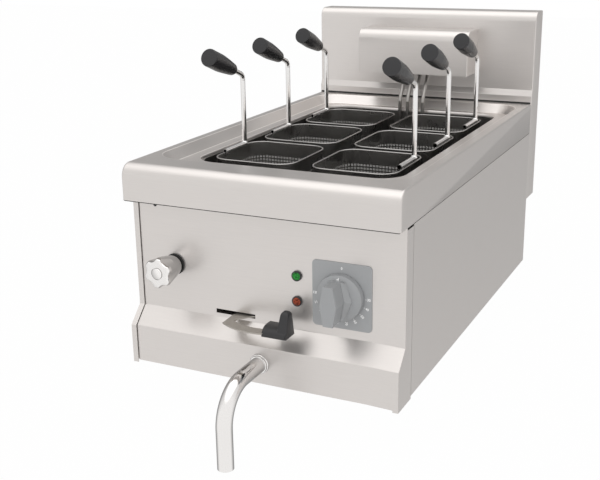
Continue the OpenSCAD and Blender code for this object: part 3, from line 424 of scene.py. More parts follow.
def mesh_piece(name, verts, cells, uvs, body, material, slot, replaces=(), wall=0, outward=True, sharp=38):
    """One mesh from points and faces: merged, turned outwards, smoothed, given a wall, set on its body."""
    mesh = bpy.data.meshes.new(name)
    mesh.from_pydata(verts.tolist(), [], cells)
    corner = np.zeros(len(mesh.loops), np.int32)
    mesh.loops.foreach_get("vertex_index", corner)
    mesh.uv_layers.new(name="UVMap").data.foreach_set("uv", uvs[corner].astype(np.float32).ravel())
    bm = bmesh.new()
    bm.from_mesh(mesh)
    bmesh.ops.remove_doubles(bm, verts=bm.verts, dist=MERGE_WITHIN)
    bmesh.ops.dissolve_degenerate(bm, edges=bm.edges, dist=SLIVER)
    if outward:
        bmesh.ops.recalc_face_normals(bm, faces=bm.faces)
    bm.to_mesh(mesh)
    bm.free()
    mesh.shade_smooth()
    mesh.set_sharp_from_angle(angle=math.radians(sharp))
    mesh.materials.append(material)
    made = add_object(name, mesh)
    if wall:
        sharpen_rim(mesh)
        solid = made.modifiers.new("wall", "SOLIDIFY")
        solid.thickness = wall
        solid.offset = -1
        solid.use_even_offset = True
    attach(made, body)
    if replaces:
        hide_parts(*replaces)


# Shader nodes, node groups and finishes

def put(tree, kind, inputs=None, **settings):
    """A new node with its settings and input values; an input that is a socket is linked."""
    made = tree.nodes.new(kind)
    for key, value in settings.items():
        setattr(made, key, value)
    for key, value in (inputs or {}).items():
        if isinstance(value, bpy.types.NodeSocket):
            tree.links.new(value, made.inputs[key])
        else:
            made.inputs[key].default_value = value
    return made


def group_tree(name, inputs, outputs):
    """An empty shader node group with float inputs and outputs and its two end nodes."""
    tree = bpy.data.node_groups.new(name, "ShaderNodeTree")
    for key, value in inputs.items():
        socket = tree.interface.new_socket(key, in_out="INPUT", socket_type="NodeSocketFloat")
        socket.default_value = value
    for key in outputs:
        tree.interface.new_socket(key, in_out="OUTPUT", socket_type="NodeSocketFloat")
    return tree, tree.nodes.new("NodeGroupInput"), tree.nodes.new("NodeGroupOutput")


def math_node(tree, operation, a, b=0.0):
    """Value of one math operation on sockets or numbers."""
    return put(tree, "ShaderNodeMath", {0: a, 1: b}, operation=operation).outputs[0]


def make_brushed_grain():
    """Fine grain drawn out along X, with slow smudges: a tone, a roughness and a height."""
    tree, start, end = group_tree(
        "brushed_grain",
        {"Along": 30.0, "Across": 1400.0, "Smudge Scale": 7.0, "Rough Low": 0.3, "Rough High": 0.4},
        ["Tone", "Rough", "Height"],
    )
    place = put(tree, "ShaderNodeTexCoord").outputs["Object"]
    stretch = put(tree, "ShaderNodeCombineXYZ", {
        "X": start.outputs["Along"], "Y": start.outputs["Across"], "Z": start.outputs["Across"]})
    drawn = put(tree, "ShaderNodeVectorMath", {0: place, 1: stretch.outputs[0]}, operation="MULTIPLY")
    grain = put(tree, "ShaderNodeTexNoise", {"Vector": drawn.outputs[0], "Scale": 1.0, "Detail": 2.0})
    smudge = put(tree, "ShaderNodeTexNoise", {
        "Vector": place, "Scale": start.outputs["Smudge Scale"], "Detail": 4.0, "Roughness": 0.6})
    tone = put(tree, "ShaderNodeMapRange", {
        "Value": grain.outputs["Fac"], "From Min": 0.3, "From Max": 0.7, "To Min": 0.985, "To Max": 1.015})
    rough = put(tree, "ShaderNodeMapRange", {
        "Value": smudge.outputs["Fac"], "From Min": 0.3, "From Max": 0.7,
        "To Min": start.outputs["Rough Low"], "To Max": start.outputs["Rough High"]})
    tree.links.new(tone.outputs[0], end.inputs["Tone"])
    tree.links.new(rough.outputs[0], end.inputs["Rough"])
    tree.links.new(grain.outputs["Fac"], end.inputs["Height"])
    return tree


def make_fine_pebble():
    """Moulded texture: a fine pebble height and a slow change of roughness."""
    tree, start, end = group_tree(
        "fine_pebble", {"Pebble Scale": 900.0, "Rough Low": 0.4, "Rough High": 0.5}, ["Rough", "Height"])
    place = put(tree, "ShaderNodeTexCoord").outputs["Object"]
    pebble = put(tree, "ShaderNodeTexNoise", {
        "Vector": place, "Scale": start.outputs["Pebble Scale"], "Detail": 1.0})
    slow = put(tree, "ShaderNodeTexNoise", {"Vector": place, "Scale": 25.0, "Detail": 3.0})
    rough = put(tree, "ShaderNodeMapRange", {
        "Value": slow.outputs["Fac"], "From Min": 0.3, "From Max": 0.7,
        "To Min": start.outputs["Rough Low"], "To Max": start.outputs["Rough High"]})
    tree.links.new(rough.outputs[0], end.inputs["Rough"])
    tree.links.new(pebble.outputs["Fac"], end.inputs["Height"])
    return tree


def make_perforation():
    """Square lattice of round holes on the map: the sheet left between them, and a ring round each hole."""
    tree, start, end = group_tree(
        "perforation", {"Pitch": PERF_PITCH, "Hole": PERF_HOLE, "Start": PERF_START}, ["Sheet", "Ring"])
    uv = put(tree, "ShaderNodeTexCoord").outputs["UV"]
    axes = put(tree, "ShaderNodeSeparateXYZ", {0: uv})
    offsets = []
    for key in ("X", "Y"):
        pitches = math_node(tree, "DIVIDE", axes.outputs[key], start.outputs["Pitch"])
        offsets.append(math_node(tree, "SUBTRACT", math_node(tree, "FRACT", pitches), 0.5))
    square = math_node(tree, "ADD", math_node(tree, "MULTIPLY", offsets[0], offsets[0]),
                       math_node(tree, "MULTIPLY", offsets[1], offsets[1]))
    away = math_node(tree, "MULTIPLY", math_node(tree, "SQRT", square), start.outputs["Pitch"])
    solid = math_node(tree, "GREATER_THAN", away, start.outputs["Hole"])
    margin = math_node(tree, "LESS_THAN", axes.outputs["Y"], start.outputs["Start"])
    sheet = math_node(tree, "MAXIMUM", solid, margin)
    reach = math_node(tree, "MULTIPLY", start.outputs["Hole"], PERF_RING)
    rim = math_node(tree, "LESS_THAN", away, reach)
    ring = math_node(tree, "MULTIPLY", rim, math_node(tree, "SUBTRACT", 1.0, margin))
    tree.links.new(sheet, end.inputs["Sheet"])
    tree.links.new(ring, end.inputs["Ring"])
    return tree


GRAIN = make_brushed_grain()
PEBBLE = make_fine_pebble()
HOLES = make_perforation()


def new_finish(name, **sockets):
    """A material with one principled shader whose plain values are set on its own sockets."""
    made = bpy.data.materials.new(name)
    made.use_nodes = True
    shader = made.node_tree.nodes["Principled BSDF"]
    for key, value in sockets.items():
        shader.inputs[key.replace("_", " ")].default_value = value
    return made, made.node_tree, shader


def add_group(tree, group, **values):
    """A placed node group with its own values."""
    made = tree.nodes.new("ShaderNodeGroup")
    made.node_tree = group
    for key, value in values.items():
        made.inputs[key.replace("_", " ")].default_value = value
    return made


def add_bump(tree, shader, height, strength, distance):
    """A bump node from a height to the shader's normal."""
    bump = put(tree, "ShaderNodeBump", {"Height": height, "Strength": strength, "Distance": distance})
    tree.links.new(bump.outputs[0], shader.inputs["Normal"])


def tinted(tree, colour, tone):
    """A colour multiplied by a tone that changes over the surface."""
    mix = put(tree, "ShaderNodeVectorMath", {0: colour, 1: tone}, operation="MULTIPLY")
    return mix.outputs[0]


def steel_finish(name, colour, metallic, rough, grain=0.08):
    """Drawn sheet steel: tone, roughness and a faint height from the brushed grain, and a painted highlight,
    a lighter colour where the map's first coordinate marks a bend.
    """
    made, tree, shader = new_finish(name, Metallic=metallic)
    detail = add_group(tree, GRAIN, Rough_Low=rough[0], Rough_High=rough[1])
    uv = put(tree, "ShaderNodeTexCoord").outputs["UV"]
    # Painted highlight: the map's first coordinate makes the colour lighter on bends and lips.
    painted_glint = put(tree, "ShaderNodeSeparateXYZ", {0: uv}).outputs["X"]
    tone = math_node(tree, "MULTIPLY_ADD", painted_glint, BEND_HIGHLIGHT)
    tree.links.new(detail.outputs["Tone"], tone.node.inputs[2])
    tree.links.new(tinted(tree, colour, tone), shader.inputs["Base Color"])
    tree.links.new(detail.outputs["Rough"], shader.inputs["Roughness"])
    add_bump(tree, shader, detail.outputs["Height"], grain, GRAIN_DEPTH)
    return made


def chrome_finish(name, facing, grazing, near, far, rough):
    """Polished metal whose colour is painted darker where it turns away from the view, a painted reflection
    of a room with dark corners, with a faint grain.
    """
    made, tree, shader = new_finish(name, Metallic=1.0)
    detail = add_group(tree, GRAIN, Rough_Low=rough[0], Rough_High=rough[1])
    # Painted reflection: the colour falls from the facing level to the grazing level as the surface turns
    # away.
    turn = put(tree, "ShaderNodeLayerWeight", {"Blend": 0.5}).outputs["Facing"]
    level = put(tree, "ShaderNodeMapRange", {
        "Value": turn, "From Min": near, "From Max": far, "To Min": facing, "To Max": grazing}).outputs[0]
    tone = math_node(tree, "MULTIPLY", level, detail.outputs["Tone"])
    tree.links.new(tinted(tree, CHROME_TINT, tone), shader.inputs["Base Color"])
    tree.links.new(detail.outputs["Rough"], shader.inputs["Roughness"])
    add_bump(tree, shader, detail.outputs["Height"], strength=0.02, distance=GRAIN_DEPTH)
    return made


def moulded_finish(name, colour, rough, pebble=0.12):
    """Moulded plastic or rubber with a fine pebble."""
    made, tree, shader = new_finish(name, Base_Color=(*colour, 1))
    detail = add_group(tree, PEBBLE, Rough_Low=rough[0], Rough_High=rough[1])
    tree.links.new(detail.outputs["Rough"], shader.inputs["Roughness"])
    add_bump(tree, shader, detail.outputs["Height"], pebble, PEBBLE_DEPTH)
    return made


def basket_finish():
    """Drawn steel painted darker than the body's, painted shade for the inside of the tank, with a lattice of
    open holes, and a duller ring round each hole painted paler, a painted highlight that shows the holes as
    light dots.
    """
    made, tree, shader = new_finish("basket_sheet")
    detail = add_group(tree, GRAIN, Rough_Low=0.22, Rough_High=0.34, Along=60.0)
    holes = add_group(tree, HOLES)
    ring = holes.outputs["Ring"]
    tone = tinted(tree, BASKET_SHADED_TONE, detail.outputs["Tone"])
    # Painted highlight: the ring round each hole is painted paler than the sheet.
    mix = put(tree, "ShaderNodeMix", {"Factor": ring, "A": tone, "B": RING_HIGHLIGHT_TONE}, data_type="RGBA")
    tree.links.new(mix.outputs["Result"], shader.inputs["Base Color"])
    tree.links.new(detail.outputs["Rough"], shader.inputs["Roughness"])
    tree.links.new(holes.outputs["Sheet"], shader.inputs["Alpha"])
    tree.links.new(math_node(tree, "SUBTRACT", 1.0, ring), shader.inputs["Metallic"])
    return made


def lens_finish(name, colour):
    """Moulded lamp lens with small facets."""
    made, tree, shader = new_finish(name, Roughness=0.2, Specular_IOR_Level=0.25)
    place = put(tree, "ShaderNodeTexCoord").outputs["Object"]
    facets = put(tree, "ShaderNodeTexVoronoi", {"Vector": place, "Scale": 420.0}).outputs["Distance"]
    tone = put(tree, "ShaderNodeMapRange", {"Value": facets, "To Min": 2.0, "To Max": 0.1})
    tree.links.new(tinted(tree, colour, tone.outputs[0]), shader.inputs["Base Color"])
    add_bump(tree, shader, facets, strength=0.6, distance=FACET_DEPTH)
    return made


STEEL = steel_finish("satin_sheet", (0.70, 0.670, 0.650), metallic=0.85, rough=(0.30, 0.36))
RIM_STEEL = steel_finish("rim_wire", (0.42, 0.41, 0.40), metallic=1.0, rough=(0.2, 0.3))
POLISHED = steel_finish("polished_steel", (0.86, 0.855, 0.85), metallic=1.0, rough=(0.08, 0.13), grain=0.02)
# Tap, collar and pipe chrome: colour painted darker towards their outlines, a painted reflection.
TAP_CHROME = chrome_finish("tap_chrome", facing=0.94, grazing=0.42, near=0.15, far=0.6, rough=(0.1, 0.16))
PIPE_CHROME = chrome_finish("pipe_chrome", facing=0.88, grazing=0.28, near=0.38, far=0.7, rough=(0.08, 0.13))
# The tank's steel, also used for the false bottom, is painted darker than the body's sheet: painted shade for
# the inside of the tank.
TANK_STEEL = steel_finish("tank_sheet", (0.46, 0.45, 0.437), metallic=1.0, rough=(0.25, 0.38))
HOT_STEEL = steel_finish("element_tube", (0.40, 0.385, 0.37), metallic=1.0, rough=(0.26, 0.38))
LEVER_STEEL = steel_finish("lever_plate", (0.42, 0.395, 0.36), metallic=0.8, rough=(0.36, 0.46))
BLACK = moulded_finish("black_moulding", (0.022, 0.022, 0.024), rough=(0.36, 0.46))
GRIP_BLACK = moulded_finish("grip_moulding", (0.022, 0.022, 0.024), rough=(0.24, 0.32), pebble=0.01)
RUBBER = moulded_finish("black_rubber", (0.02, 0.02, 0.02), rough=(0.55, 0.7))
GREY = moulded_finish("grey_moulding", (0.36, 0.37, 0.38), rough=(0.42, 0.5), pebble=0.06)
GREY_KNOB = moulded_finish("knob_moulding", (0.34, 0.35, 0.36), rough=(0.36, 0.46), pebble=0.05)
MARK = moulded_finish("dial_print", (0.95, 0.95, 0.95), rough=(0.5, 0.6))
BASKET = basket_finish()
GREEN = lens_finish("green_lens", (0.012, 0.20, 0.025))
AMBER = lens_finish("amber_lens", (0.23, 0.04, 0.016))

FINISH_OF_SLOT = {
    "satin_steel": STEEL, "polished_steel": POLISHED, "dark_steel": HOT_STEEL, "basket_steel": BASKET,
    "black_rubber": RUBBER, "black_plastic": BLACK, "grey_plastic": GREY, "green_lens": GREEN,
    "red_lens": AMBER,
}
for part in frame["record"]["subparts"]:
    mesh = nodes[part["node"]].data
    mesh.materials.clear()
    mesh.materials.append(FINISH_OF_SLOT[part["material_slot"]])
nodes["tank"].data.materials[0] = TANK_STEEL
nodes["false_bottom"].data.materials[0] = TANK_STEEL
nodes["drain_lever"].data.materials[0] = LEVER_STEEL
nodes["drain_pipe"].data.materials[0] = PIPE_CHROME


def flat_end(x, line, far):
    """Flat end of a folded sheet at one x, ruled from a line in Y and Z to another."""
    rows = np.stack([line, far])
    return np.concatenate([np.full(rows.shape[:2] + (1,), x), rows], -1)


def make_worktop():
    """Worktop skin: deck, nose, rounded sides, aprons, and a recess lofted through rounded rectangles."""
    z = WORK_HI.z
    y_nose = WORK_LO.y + LIP_NOSE
    x_flat = HALF_W - EDGE_SIDE
    line = np.concatenate([
        [[WORK_HI.y, z]],
        arc_points((y_nose, z - LIP_NOSE), LIP_NOSE, 90, 180, count=14),
        [[WORK_LO.y, z - LIP_NOSE - EASE], [WORK_LO.y, WORK_LO.z]],
    ])
    lip_back = [[WORK_LO.y, WORK_LO.z], [WORK_LO.y + PANEL_SET, WORK_LO.z]]
    rear = [[WORK_HI.y, z], [WORK_HI.y, WORK_LO.z]]
    across = [-x_flat, -x_flat + EASE, x_flat - EASE, x_flat]
    grids = [patch(folded(line[1:], across)), patch(folded(lip_back, [-HALF_W, HALF_W]))]
    for side in (-1, 1):
        grids.append(patch(side_round(line, side * HALF_W, side, EDGE_SIDE)))
        inner = inset_line(line, EDGE_SIDE)[:-1]
        foot = np.column_stack([inner[:, 0], np.full(len(inner), WORK_LO.z)])
        grids.append(patch(flat_end(side * HALF_W, inner, foot)))
    rings = []
    deck_half, deck_mid = (WORK_HI.y - y_nose) / 2, (0, (y_nose + WORK_HI.y) / 2)
    for shrink in (0, EASE):
        rings.append(round_ring(x_flat - shrink, deck_half - shrink, SQUARE_CORNER, deck_mid, z))
    half_x = HALF_W - BORDER_SIDE
    y0, y1 = WORK_LO.y + BORDER_FRONT, WORK_HI.y - BORDER_REAR
    half_y, mid = (y1 - y0) / 2, (0, (y0 + y1) / 2)
    wall = bent_line([[-WALL_LEG, 0], [0, 0], [RECESS_RUN, -RECESS_DEPTH],
                      [RECESS_RUN + WALL_LEG, -RECESS_DEPTH]], [RECESS_LIP, RECESS_FILLET])
    for inward, rise in wall[1:-1]:
        rings.append(round_ring(half_x - inward, half_y - inward, RECESS_CORNER - inward, mid, z + rise))
    floor = z - RECESS_DEPTH
    mouth_half, mouth_mid = (MOUTH_REAR - MOUTH_FRONT) / 2, (0, (MOUTH_FRONT + MOUTH_REAR) / 2)
    lip = [(MOUTH_LIP + EASE, 0), (MOUTH_LIP, 0), MOUTH_LIP_MIDDLE, (0, MOUTH_LIP), (0, floor - TANK_TOP)]
    for grow, drop in lip:
        rings.append(round_ring(MOUTH_SIDE + grow, mouth_half + grow, MOUTH_CORNER + grow, mouth_mid,
                                floor - drop))
    loft = np.stack(rings)
    # Painted highlight: the rings on the recess's bends and the mouth's rounded lip get a lighter colour
    # through the map.
    painted_glint = np.array([0, 0] + 2 * ([0] + [1] * BEND_ROWS + [0]) + MOUTH_HIGHLIGHT, float)
    uv = np.stack([np.broadcast_to(painted_glint[:, None], loft.shape[:2]), np.zeros(loft.shape[:2])], -1)
    grids.append(patch(loft, wrap=True, uv=uv))
    grids.append(patch(folded(rear, [-HALF_W, HALF_W])))
    piece("worktop_skin", grids, "cabinet", STEEL, "satin_steel", ["worktop"])


def make_front_panel():
    """Front panel: the folded profile drawn out along X, with the lever slot's cell left out."""
    face = WORK_LO.y + PANEL_SET
    line = bent_line([[face, PANEL_HI.z], [face, CHAMFER_TOP], [PANEL_LO.y, CHAMFER_LOW],
                      [PANEL_LO.y, PANEL_LO.z]], [PANEL_BEND, PANEL_BEND])
    slot_top, slot_low = SLOT_MIDDLE + SLOT_HEIGHT / 2, SLOT_MIDDLE - SLOT_HEIGHT / 2
    marks = [PANEL_HI.z - EASE, slot_top + EASE, slot_top, slot_low, slot_low - EASE]
    line = np.concatenate([line[:1], [[face, z] for z in marks], line[1:-1],
                           [[PANEL_LO.y, PANEL_LO.z + EASE]], line[-1:]])
    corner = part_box("corner_post_right")[1].x - POST_MARGIN
    columns = [corner, corner - EASE, PANEL_HI.x, LAP_START, SLOT_RIGHT + EASE, SLOT_RIGHT, SLOT_LEFT,
               SLOT_LEFT - EASE, PANEL_LO.x + EASE, PANEL_LO.x]
    points = folded(line, columns)
    lap = (np.array(columns) - LAP_START) / (PANEL_HI.x - LAP_START)
    points[..., 1] -= LAP_FORWARD * np.clip(lap, 0, 1)
    keep = np.ones((len(line) - 1, len(columns) - 1), bool)
    keep[1 + marks.index(slot_top), columns.index(SLOT_RIGHT)] = False
    piece("front_panel_skin", [patch(points, keep=keep)], "cabinet", STEEL, "satin_steel",
          ["front_panel"], wall=PANEL_SHEET, outward=False)


def make_shadow_strip(name, line):
    """Dark strip in the black rubber finish, painted shade standing for a shadow gap: a line in Y and Z drawn
    out along X, ending short of the worktop's sides.
    """
    ends = [HALF_W - SHADOW_STRIP_END, SHADOW_STRIP_END - HALF_W]
    piece(name, [patch(folded(line, ends))], "cabinet", RUBBER, "black_rubber", outward=False)


def make_front_details():
    """Dark strips of painted shade for the shadow gaps under the lip and at the splash's foot, and a turned
    plug in the panel, partly under the lip.
    """
    # Painted shade: a dark strip for the shadow gap under the lip.
    front, top = WORK_LO.y + LIP_SHADOW_SET, WORK_LO.z
    back, low = front + LIP_SHADOW_DEPTH, top - LIP_SHADOW_HEIGHT
    make_shadow_strip("lip_shadow_strip", [[front, top], [front, low], [back, low], [back, top]])
    # Painted shade: a dark strip for the shadow gap under the splash's foot.
    front, top = SPLASH_LO.y - FOOT_SHADOW_DEPTH, WORK_HI.z + FOOT_SHADOW_HEIGHT
    back, low = SPLASH_LO.y, WORK_HI.z
    make_shadow_strip("splash_shadow_strip", [[back, top], [front, top], [front, low], [back, low]])
    head = [[PLUG_RADIUS, 0], [PLUG_RADIUS, PLUG_EDGE], [PLUG_RADIUS * PLUG_FACE, PLUG_HEAD], [0, PLUG_HEAD]]
    place = (PLUG_X, WORK_LO.y + PANEL_SET, PLUG_Z)
    plug = facing_front(turned(head, count=24), place)
    piece("panel_plug", [patch(plug, wrap=True)], "cabinet", BLACK, "black_plastic")


def make_cap(name, line, x0, x1, back, replaces):
    """Steel cap folded along a line, with rounded side edges and flat ends reaching back to a plane of Y."""
    left, right = x0 + EDGE_FOLD, x1 - EDGE_FOLD
    grids = [patch(folded(line, [left, left + EASE, right - EASE, right]))]
    for side, x in ((-1, x0), (1, x1)):
        grids.append(patch(side_round(line, x, side, EDGE_FOLD)))
        inner = inset_line(line, EDGE_FOLD)
        last_top = np.flatnonzero(inner[:, 1] > inner[:, 1].max() - LEVEL_WITHIN)[-1]
        inner = inner[last_top:]
        rear = np.column_stack([np.full(len(inner), back), inner[:, 1]])
        grids.append(patch(flat_end(x, inner, rear)))
    piece(name, grids, "cabinet", STEEL, "satin_steel", replaces, wall=CAP_SHEET)


def make_splash():
    """Splash skin: rear lip, rounded top, face, slope and skirt."""
    face = SPLASH_LO.y + SKIRT_FORWARD
    bend = WORK_HI.z + SKIRT_TOP
    line = bent_line([
        [SPLASH_HI.y, SPLASH_HI.z - SPLASH_LIP], [SPLASH_HI.y, SPLASH_HI.z], [face, SPLASH_HI.z],
        [face, bend + SKIRT_SLOPE], [SPLASH_LO.y, bend], [SPLASH_LO.y, SPLASH_LO.z],
    ], [SHEET_BEND, SPLASH_NOSE, SHEET_BEND, SHEET_BEND], count=9)
    make_cap("splash_skin", line, SPLASH_LO.x, SPLASH_HI.x, SPLASH_HI.y, ["splashback"])


def make_head():
    """Heater head skin: flat top, rounded front edge and face."""
    line = bent_line([
        [HEAD_HI.y, HEAD_HI.z], [HEAD_LO.y, HEAD_HI.z], [HEAD_LO.y, HEAD_LO.z],
    ], [HEAD_NOSE], count=12)
    make_cap("head_skin", line, HEAD_LO.x, HEAD_HI.x, HEAD_HI.y, ["head_box"])


make_worktop()
make_front_panel()
make_front_details()
make_splash()
make_head()


def make_basket(number):
    """Perforated pan lofted from rim to floor, a round rim carried along a rounded rectangle, and a bead."""
    body = f"basket_{number}"
    pan = f"{body}_pan"
    lo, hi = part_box(pan)
    mid = ((lo.x + hi.x) / 2, (lo.y + hi.y) / 2)
    half_x = (hi.x - lo.x) / 2 - RIM_WIRE
    half_y = (hi.y - lo.y) / 2 - RIM_WIRE
    z_rim = hi.z - RIM_WIRE
    levels = [(0.0, z_rim), (0.0, z_rim - PERF_START)]
    for a in np.radians(np.linspace(0, 90, 7)):
        levels.append((PAN_FILLET * (1 - math.cos(a)), lo.z + PAN_FILLET * (1 - math.sin(a))))
    floor = len(levels)
    levels += [(share * half_x, lo.z) for share in PAN_FLOOR_SHARES]
    rings = []
    for shrink, z in levels:
        corner = max(RIM_CORNER - shrink * PAN_CORNER_FALL, PAN_CORNER_LEAST)
        corner = min(corner, half_x - shrink)
        rings.append(round_ring(half_x - shrink, half_y - shrink, corner, mid, z, count=10))
    points = np.stack(rings)
    points = np.concatenate([points, points[:, :1]], 1)
    along = np.cumsum(np.linalg.norm(np.diff(points[0], axis=0, prepend=points[0][:1]), axis=1))
    deep = np.cumsum(np.linalg.norm(np.diff(points[:, 0], axis=0, prepend=points[:1, 0]), axis=1))
    uv = np.stack(np.broadcast_arrays(along[None, :], deep[:, None]), -1)
    uv[floor:] = points[floor:, :, :2] + FLOOR_MAP_SHIFT
    piece(f"{body}_sheet", [patch(points, uv=uv)], body, BASKET, "basket_steel", [pan], wall=PAN_SHEET)
    path = round_ring(half_x, half_y, RIM_CORNER, mid, z_rim, count=14)
    ahead = np.roll(path, -1, 0) - np.roll(path, 1, 0)
    ahead /= np.linalg.norm(ahead, axis=1, keepdims=True)
    side = np.cross(ahead, UP)
    a = np.linspace(0, 2 * math.pi, 16, endpoint=False)[None, :, None]
    tube = path[:, None, :] + RIM_WIRE * np.cos(a) * side[:, None, :] + RIM_WIRE * np.sin(a) * UP
    tube = np.concatenate([tube, tube[:1]], 0)
    piece(f"{body}_rim", [patch(tube, wrap=True)], body, RIM_STEEL, "polished_steel")
    rod_lo, rod_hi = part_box(f"{body}_handle")
    ball = turned(arc_points((0, 0), BEAD_RADIUS, -90, 90, count=13), count=24)
    seat = np.array([(rod_lo.x + rod_hi.x) / 2, rod_hi.y - BEAD_RADIUS, rod_lo.z + BEAD_RADIUS])
    piece(f"{body}_bead", [patch(ball + seat, wrap=True)], body, POLISHED, "polished_steel")


def make_grip(number):
    """Tapered grip: a smooth profile of radius along its length, turned and laid along the handle's slope."""
    body = f"basket_{number}"
    grip = f"{body}_grip"
    lo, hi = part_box(grip)
    straight = GRIP_LENGTH - GRIP_EDGE
    t = np.linspace(0, 1, 30)
    taper = GRIP_TAPER * np.clip(1 - t / GRIP_TAPER_REACH, 0, 1) ** GRIP_TAPER_POWER
    tip = GRIP_TIP * np.clip(1 - t / GRIP_TIP_REACH, 0, 1) ** 2
    radius = GRIP_RADIUS * (1 - taper - tip)
    edge = arc_points((radius[-1] - GRIP_EDGE, straight), GRIP_EDGE, 0, 90, count=5)
    side = np.column_stack([radius, t * straight])
    form = turned(np.concatenate([[[0, 0]], side, edge[1:], [[0, GRIP_LENGTH]]]))
    ahead = np.array([0, -math.cos(GRIP_TILT), math.sin(GRIP_TILT)])
    above = np.array([0, math.sin(GRIP_TILT), math.cos(GRIP_TILT)])
    tail = GRIP_RADIUS * GRIP_SEAT
    start = np.array([(lo.x + hi.x) / 2, hi.y - tail * above[1], lo.z + tail * above[2]])
    points = start + form @ np.array([[1, 0, 0], above, ahead])
    piece(f"{body}_moulding", [patch(points, wrap=True)], body, GRIP_BLACK, "black_plastic", [grip])


for number in range(1, BASKETS + 1):
    make_basket(number)
    make_grip(number)


def rounded_loop(corners, radius, count=5):
    """Closed plane loop whose corners are arcs of one radius, each tangent to its two sides."""
    corners = np.asarray(corners, float)
    runs = []
    for before, corner, after in zip(np.roll(corners, 1, 0), corners, np.roll(corners, -1, 0)):
        runs.append(bent_line([before, corner, after], [radius], count)[1:-1])
    return np.concatenate(runs)


def closed(rows):
    """Grid through loops of equal length, closed at both ends by the middle points of its end loops."""
    ends = [np.broadcast_to(row.mean(0), row.shape) for row in (rows[0], rows[-1])]
    return np.stack([ends[0], *rows, ends[1]])


def stacked(loops, heights):
    """Closed grid through plane loops at given heights."""
    return closed([np.column_stack([loop, np.full(len(loop), z)]) for loop, z in zip(loops, heights)])


def make_dial_plate():
    """Dial plate: a rounded rectangle with a small bevel round its front edge."""
    half_x, half_z = (PLATE_HI.x - PLATE_LO.x) / 2, (PLATE_HI.z - PLATE_LO.z) / 2
    thick = PLATE_HI.y - PLATE_LO.y
    rows = []
    for shrink, z in ((0, 0), (0, thick - PLATE_BEVEL), (PLATE_BEVEL_MIDDLE, thick - PLATE_BEVEL_MIDDLE),
                      (PLATE_BEVEL, thick), (PLATE_BEVEL + EASE, thick)):
        rows.append(round_ring(half_x - shrink, half_z - shrink, PLATE_CORNER - shrink, (0, 0), z))
    points = facing_front(closed(rows), (DIAL_X, PLATE_HI.y, DIAL_Z))
    piece("dial_face", [patch(points, wrap=True)], "cabinet", GREY, "grey_plastic", ["dial_plate"])


def make_thermostat_knob():
    """Knob: a turned skirt, a low shoulder and a six-sided bar, each a stack of loops along its axis."""
    radius = SKIRT_SHARE * (KNOB_HI.x - KNOB_LO.x) / 2
    length = KNOB_HI.y - KNOB_LO.y
    skirt = np.concatenate([
        [[0, 0], [radius, 0]],
        arc_points((radius - SKIRT_EDGE, SKIRT_HEIGHT - SKIRT_EDGE), SKIRT_EDGE, 0, 75, count=5),
        [[radius * share, SKIRT_HEIGHT + rise] for share, rise in CROWN],
    ])
    bar = np.array([[BAR_END_HALF, BAR_END], [-BAR_END_HALF, BAR_END], [-BAR_MIDDLE_HALF, 0],
                    [-BAR_END_HALF, -BAR_END], [BAR_END_HALF, -BAR_END], [BAR_MIDDLE_HALF, 0]])
    face = rounded_loop(bar * FACE_SCALE, FACE_ROUND)
    edge = rounded_loop(bar, BAR_ROUND)
    foot = rounded_loop(bar * BAR_FOOT_SCALE, BAR_ROUND)
    shoulder = rounded_loop(bar * SHOULDER_SCALE, SHOULDER_ROUND)
    low, bevel = SKIRT_HEIGHT + BAR_SEAT, length - BAR_BEVEL
    forms = [
        turned(skirt, count=96),
        stacked([shoulder, shoulder * SHOULDER_DRAFT, foot * SHOULDER_NECK],
                [low, SHOULDER_TOP - SHOULDER_DROP, SHOULDER_TOP]),
        stacked([foot, edge, edge, face, face * FACE_INNER], [low, bevel - EASE, bevel, length, length]),
    ]
    grids = [patch(facing_front(form, KNOB_PLACE), wrap=True) for form in forms]
    piece("thermostat_form", grids, "thermostat", GREY_KNOB, "grey_plastic", ["thermostat_knob"], sharp=28)
    arrow = np.array(ARROW)
    seat = np.array(KNOB_PLACE) - [0, SKIRT_HEIGHT + ARROW_RISE, 0]
    mark = facing_front(stacked([arrow, arrow], [0, ARROW_THICK]), seat)
    piece("thermostat_arrow", [patch(mark, wrap=True)], "thermostat", MARK, "grey_plastic", sharp=28)


def word_mesh(text):
    """Points and faces of a printed number, its middle at the origin, from the plain built-in letters."""
    curve = bpy.data.curves.new("number", "FONT")
    curve.body = text
    curve.size = NUMBER_HEIGHT / DIGIT_SHARE
    curve.extrude = PRINT_HALF
    curve.offset = PRINT_BOLD
    curve.resolution_u = 3
    curve.align_x = "CENTER"
    made = add_object("number", curve)
    mesh = bpy.data.meshes.new_from_object(made.evaluated_get(bpy.context.evaluated_depsgraph_get()))
    points = np.array([v.co[:] for v in mesh.vertices])
    faces = [list(f.vertices) for f in mesh.polygons]
    bpy.data.objects.remove(made)
    bpy.data.curves.remove(curve)
    bpy.data.meshes.remove(mesh)
    points[:, 1] -= (points[:, 1].min() + points[:, 1].max()) / 2
    return points, faces


